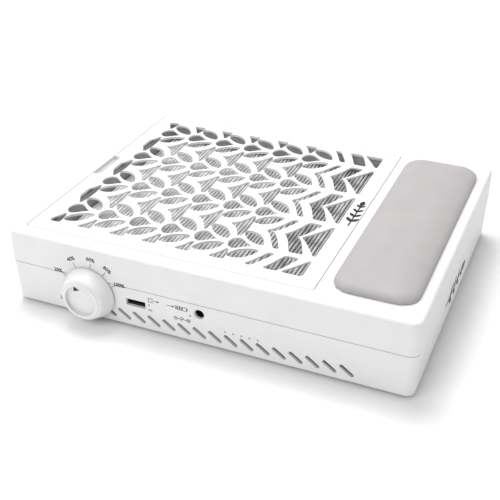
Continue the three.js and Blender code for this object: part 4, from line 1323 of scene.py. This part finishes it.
def light_lens(index):
    """A light pipe with a domed end that stands a little proud of the wall."""
    name = f"level_light_{index}"
    low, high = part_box(name)
    middle = middle_of(name)
    radius, dome = 0.6 * MM, 0.3 * MM
    length = high.y - low.y
    profile = [(0, 0), (radius, 0)]
    for angle in arc(0, 90, 5):
        profile.append((radius * math.cos(angle), length - dome * (1 - math.sin(angle))))
    mesh = facing_front(turned(f"{name}_lens", profile, 24), middle.x, high.y, middle.z)
    piece_from_mesh(f"{name}_lens", finished(mesh, 50), "casing", ACRYLIC, [name])


def stroke(start, end, width):
    """A straight ink line between two points, as an outline."""
    a, b = Vector(start), Vector(end)
    side = (b - a).normalized()
    side = Vector((-side.y, side.x)) * width / 2
    return [a - side, b - side, b + side, a + side]


def ring_strokes(x, y, radius, sides=14):
    points = circle(x, y, radius, sides)
    return [stroke(points[i - 1], points[i], LINE) for i in range(sides)]


def lines(*ends, width=1):
    """Ink lines from (x0, y0, x1, y1) in millimetres. `width` counts the usual line's width."""
    return [stroke(*in_mm(end[:2], end[2:]), width * LINE) for end in ends]


LINE = 0.42 * MM
OUTPUT_SIGN_PLACE = (-38.2 * MM, CASE_FLOOR + 21 * MM)
INPUT_SIGN_PLACE = (-6 * MM, CASE_FLOOR + 20.6 * MM)


def output_sign():
    """A box with an arrow that leaves it, over a triangle and a direct-current sign."""
    box = lines((4.4, 6.6, 0.5, 6.6), (0.5, 6.7, 0.5, 3.3), (0.5, 3.4, 4.4, 3.4))
    arrow_out = [*lines((2.6, 5, 7.4, 5)), in_mm((7, 4.1), (8.8, 5), (7, 5.9))]
    current = lines((0, -3, 3, -3), (0, -4, 0.8, -4), (1.1, -4, 1.9, -4), (2.2, -4, 3, -4))
    return [*box, *arrow_out, in_mm((0, 0.2), (1.5, 0.2), (0.75, 1.6)), *current]


def input_sign():
    """A battery with an arrow into it, over a triangle and the sign for a plug's polarity."""
    arrow_in = [*lines((-17.6, 5, -13, 5)), in_mm((-13.4, 4.1), (-11.6, 5), (-13.4, 5.9))]
    outline = lines((-11, 6.4, -2.6, 6.4), (-11, 3.6, -2.6, 3.6), (-11, 3.45, -11, 6.55),
                    (-2.6, 3.45, -2.6, 6.55))
    bars = lines(*((x, 4.2, x, 5.8) for x in (-9.6, -7.8, -6)), width=3)
    battery = [*outline, *lines((-2.1, 4.3, -2.1, 5.7), width=2), *bars]
    level = -4 * MM
    minus, plug, plus = -11.4 * MM, -6.5 * MM, -1.6 * MM
    end_ring = 1.25 * MM
    polarity = [
        *ring_strokes(minus, level, end_ring),
        *ring_strokes(plug, level, 1.5 * MM)[2:-2],
        circle(plug, level, 0.55 * MM, 12),
        *ring_strokes(plus, level, end_ring),
        *lines((-10.1, -4, -8, -4), (-6, -4, -2.9, -4), (-12.1, -4, -10.7, -4), (-2.3, -4, -0.9, -4),
               (-1.6, -4.7, -1.6, -3.3)),
    ]
    return [*arrow_in, *battery, in_mm((-0.4, 0), (-0.4, 1.6), (1, 0.8)), *polarity]


def port_signs():
    meshes = []
    for outlines, place in ((output_sign(), OUTPUT_SIGN_PLACE), (input_sign(), INPUT_SIGN_PLACE)):
        meshes += [flat_mark("sign", outline, INK_THICKNESS, wall_place(*place)) for outline in outlines]
    piece_from_mesh("port_signs", joined_mesh("port_signs", meshes), "casing", INK)


def leaf_mark(x, heading, length, width):
    """A pointed leaf that leaves (x, 0) at a heading in degrees. `width` is half its width."""
    steps = 12
    edge = [(length * i / steps, width * math.sin(math.pi * i / steps)) for i in range(steps + 1)]
    edge += [(along, -across) for along, across in edge[-2:0:-1]]
    turn = math.radians(heading)
    cosine, sine = math.cos(turn), math.sin(turn)
    return [(x + a * cosine - b * sine, a * sine + b * cosine) for a, b in edge]


def sprig(length):
    """Outlines of a leaf sprig that runs along X: a stem, four pairs of leaves and one at the tip."""
    outlines = [stroke((0, 0), (0.8 * length, 0), 0.028 * length)]
    for k in range(4):
        size = (0.2 - 0.02 * k) * length
        for heading in (-38, 38):
            outlines.append(leaf_mark((0.16 + 0.19 * k) * length, heading, size, 0.2 * size))
    outlines.append(leaf_mark(0.78 * length, 0, 0.22 * length, 0.05 * length))
    return outlines


COVER_SPRIG_LENGTH = 40 * MM
SIDE_SPRIG_LENGTH = 66 * MM


def sprig_mark(name, body, length, place, ink):
    meshes = [flat_mark("leaf", outline, INK_THICKNESS, place) for outline in sprig(length)]
    piece_from_mesh(name, joined_mesh(name, meshes), body, ink)


def sprig_marks():
    """A plain leaf sprig on the cover's right margin, and another on the casing's right side."""
    cover_place = Matrix.Translation((COVER_HIGH.x - 5 * MM, -12 * MM, COVER_HIGH.z)) @ turned_by(90, "Z")
    sprig_mark("cover_sprig", "cover", COVER_SPRIG_LENGTH, cover_place, INK_BLACK)
    z = CASE_FLOOR + 18 * MM
    side_place = (Matrix.Translation((TOP_HIGH.x - taper(z), -28 * MM, z))
                  @ Matrix.Rotation(LOWER_LEAN, 4, "Y") @ turned_by(90, "Z") @ turned_by(90, "X"))
    sprig_mark("side_sprig", "casing", SIDE_SPRIG_LENGTH, side_place, INK)


# ---------- the set ----------

CAMERA_LENS = 65.02
CAMERA_SENSOR = 36
# from the middle of the casing's underside, in metres, and then its angles in degrees
CAMERA_OFFSET = Vector((0.227599, -0.557530, 0.374722))
CAMERA_TURN, CAMERA_DIP, CAMERA_ROLL = 23.2553, 31.2267, -0.2228

FLOOR_SIZE = 6
SKY_STRENGTH = 0.56
# where each light is, what it faces, its size in metres and its power in watts
LIGHTS = {
    "key": ((-0.32, 0.35, 1.5), (0, 0, 0), 0.8, 17),
    "front_fill": ((-0.45, -1.15, 1.15), (0, 0, 0.02), 1.0, 6.3),
}


def main_camera():
    """The camera of the reference view, placed about the casing's middle."""
    data = bpy.data.cameras.new("camera")
    data.lens = CAMERA_LENS
    data.sensor_width = CAMERA_SENSOR
    camera = linked("camera", data)
    place = Vector((CASE_MIDDLE.x, CASE_MIDDLE.y, CASE_FLOOR)) + CAMERA_OFFSET
    camera.matrix_world = (
        Matrix.Translation(place)
        @ turned_by(CAMERA_TURN, "Z") @ turned_by(90 - CAMERA_DIP, "X") @ turned_by(CAMERA_ROLL, "Z")
    )
    bpy.context.scene.camera = camera


def area_light(name, location, target, size, power):
    """A square soft light that faces its target."""
    data = bpy.data.lights.new(name, "AREA")
    data.shape = "SQUARE"
    data.size = size
    data.energy = power
    lamp = linked(name, data)
    lamp.location = location
    lamp.rotation_mode = "QUATERNION"
    lamp.rotation_quaternion = (Vector(target) - Vector(location)).to_track_quat("-Z", "Y")


def studio():
    """A white floor and sky, a key light over the back left corner, and a fill from the front."""
    builder = bmesh.new()
    bmesh.ops.create_grid(builder, x_segments=1, y_segments=1, size=FLOOR_SIZE)
    floor = linked("floor", mesh_from("floor", builder))
    white = Nodes("floor_white", (0.93, 0.93, 0.93), 0.9)
    white.roughness_from(white.noise(3), 0.85, 0.95)
    floor.data.materials.append(white.material)

    world = bpy.data.worlds.new("studio")
    bpy.context.scene.world = world
    world.use_nodes = True
    background = world.node_tree.nodes["Background"]
    background.inputs["Color"].default_value = (1, 1, 1, 1)
    background.inputs["Strength"].default_value = SKY_STRENGTH
    for name, light in LIGHTS.items():
        area_light(name, *light)
    bpy.context.scene.view_settings.view_transform = "Standard"


main_camera()
dress_frame()
top_shell()
bottom_shell()
corner_posts()
base_plate()
for number in range(1, 5):
    foot(number)
    cross_screw(f"case_screw_{number}", True)
    cross_screw(f"deck_screw_{number}", False)
grille_cover()
pleated_paper()
hand_rest_cushion()
hand_rest_board()
dial_cap()
dial_pointer()
dial_scale()
usb_receptacle()
charging_pin()
for number in range(1, 6):
    light_lens(number)
port_signs()
sprig_marks()
studio()
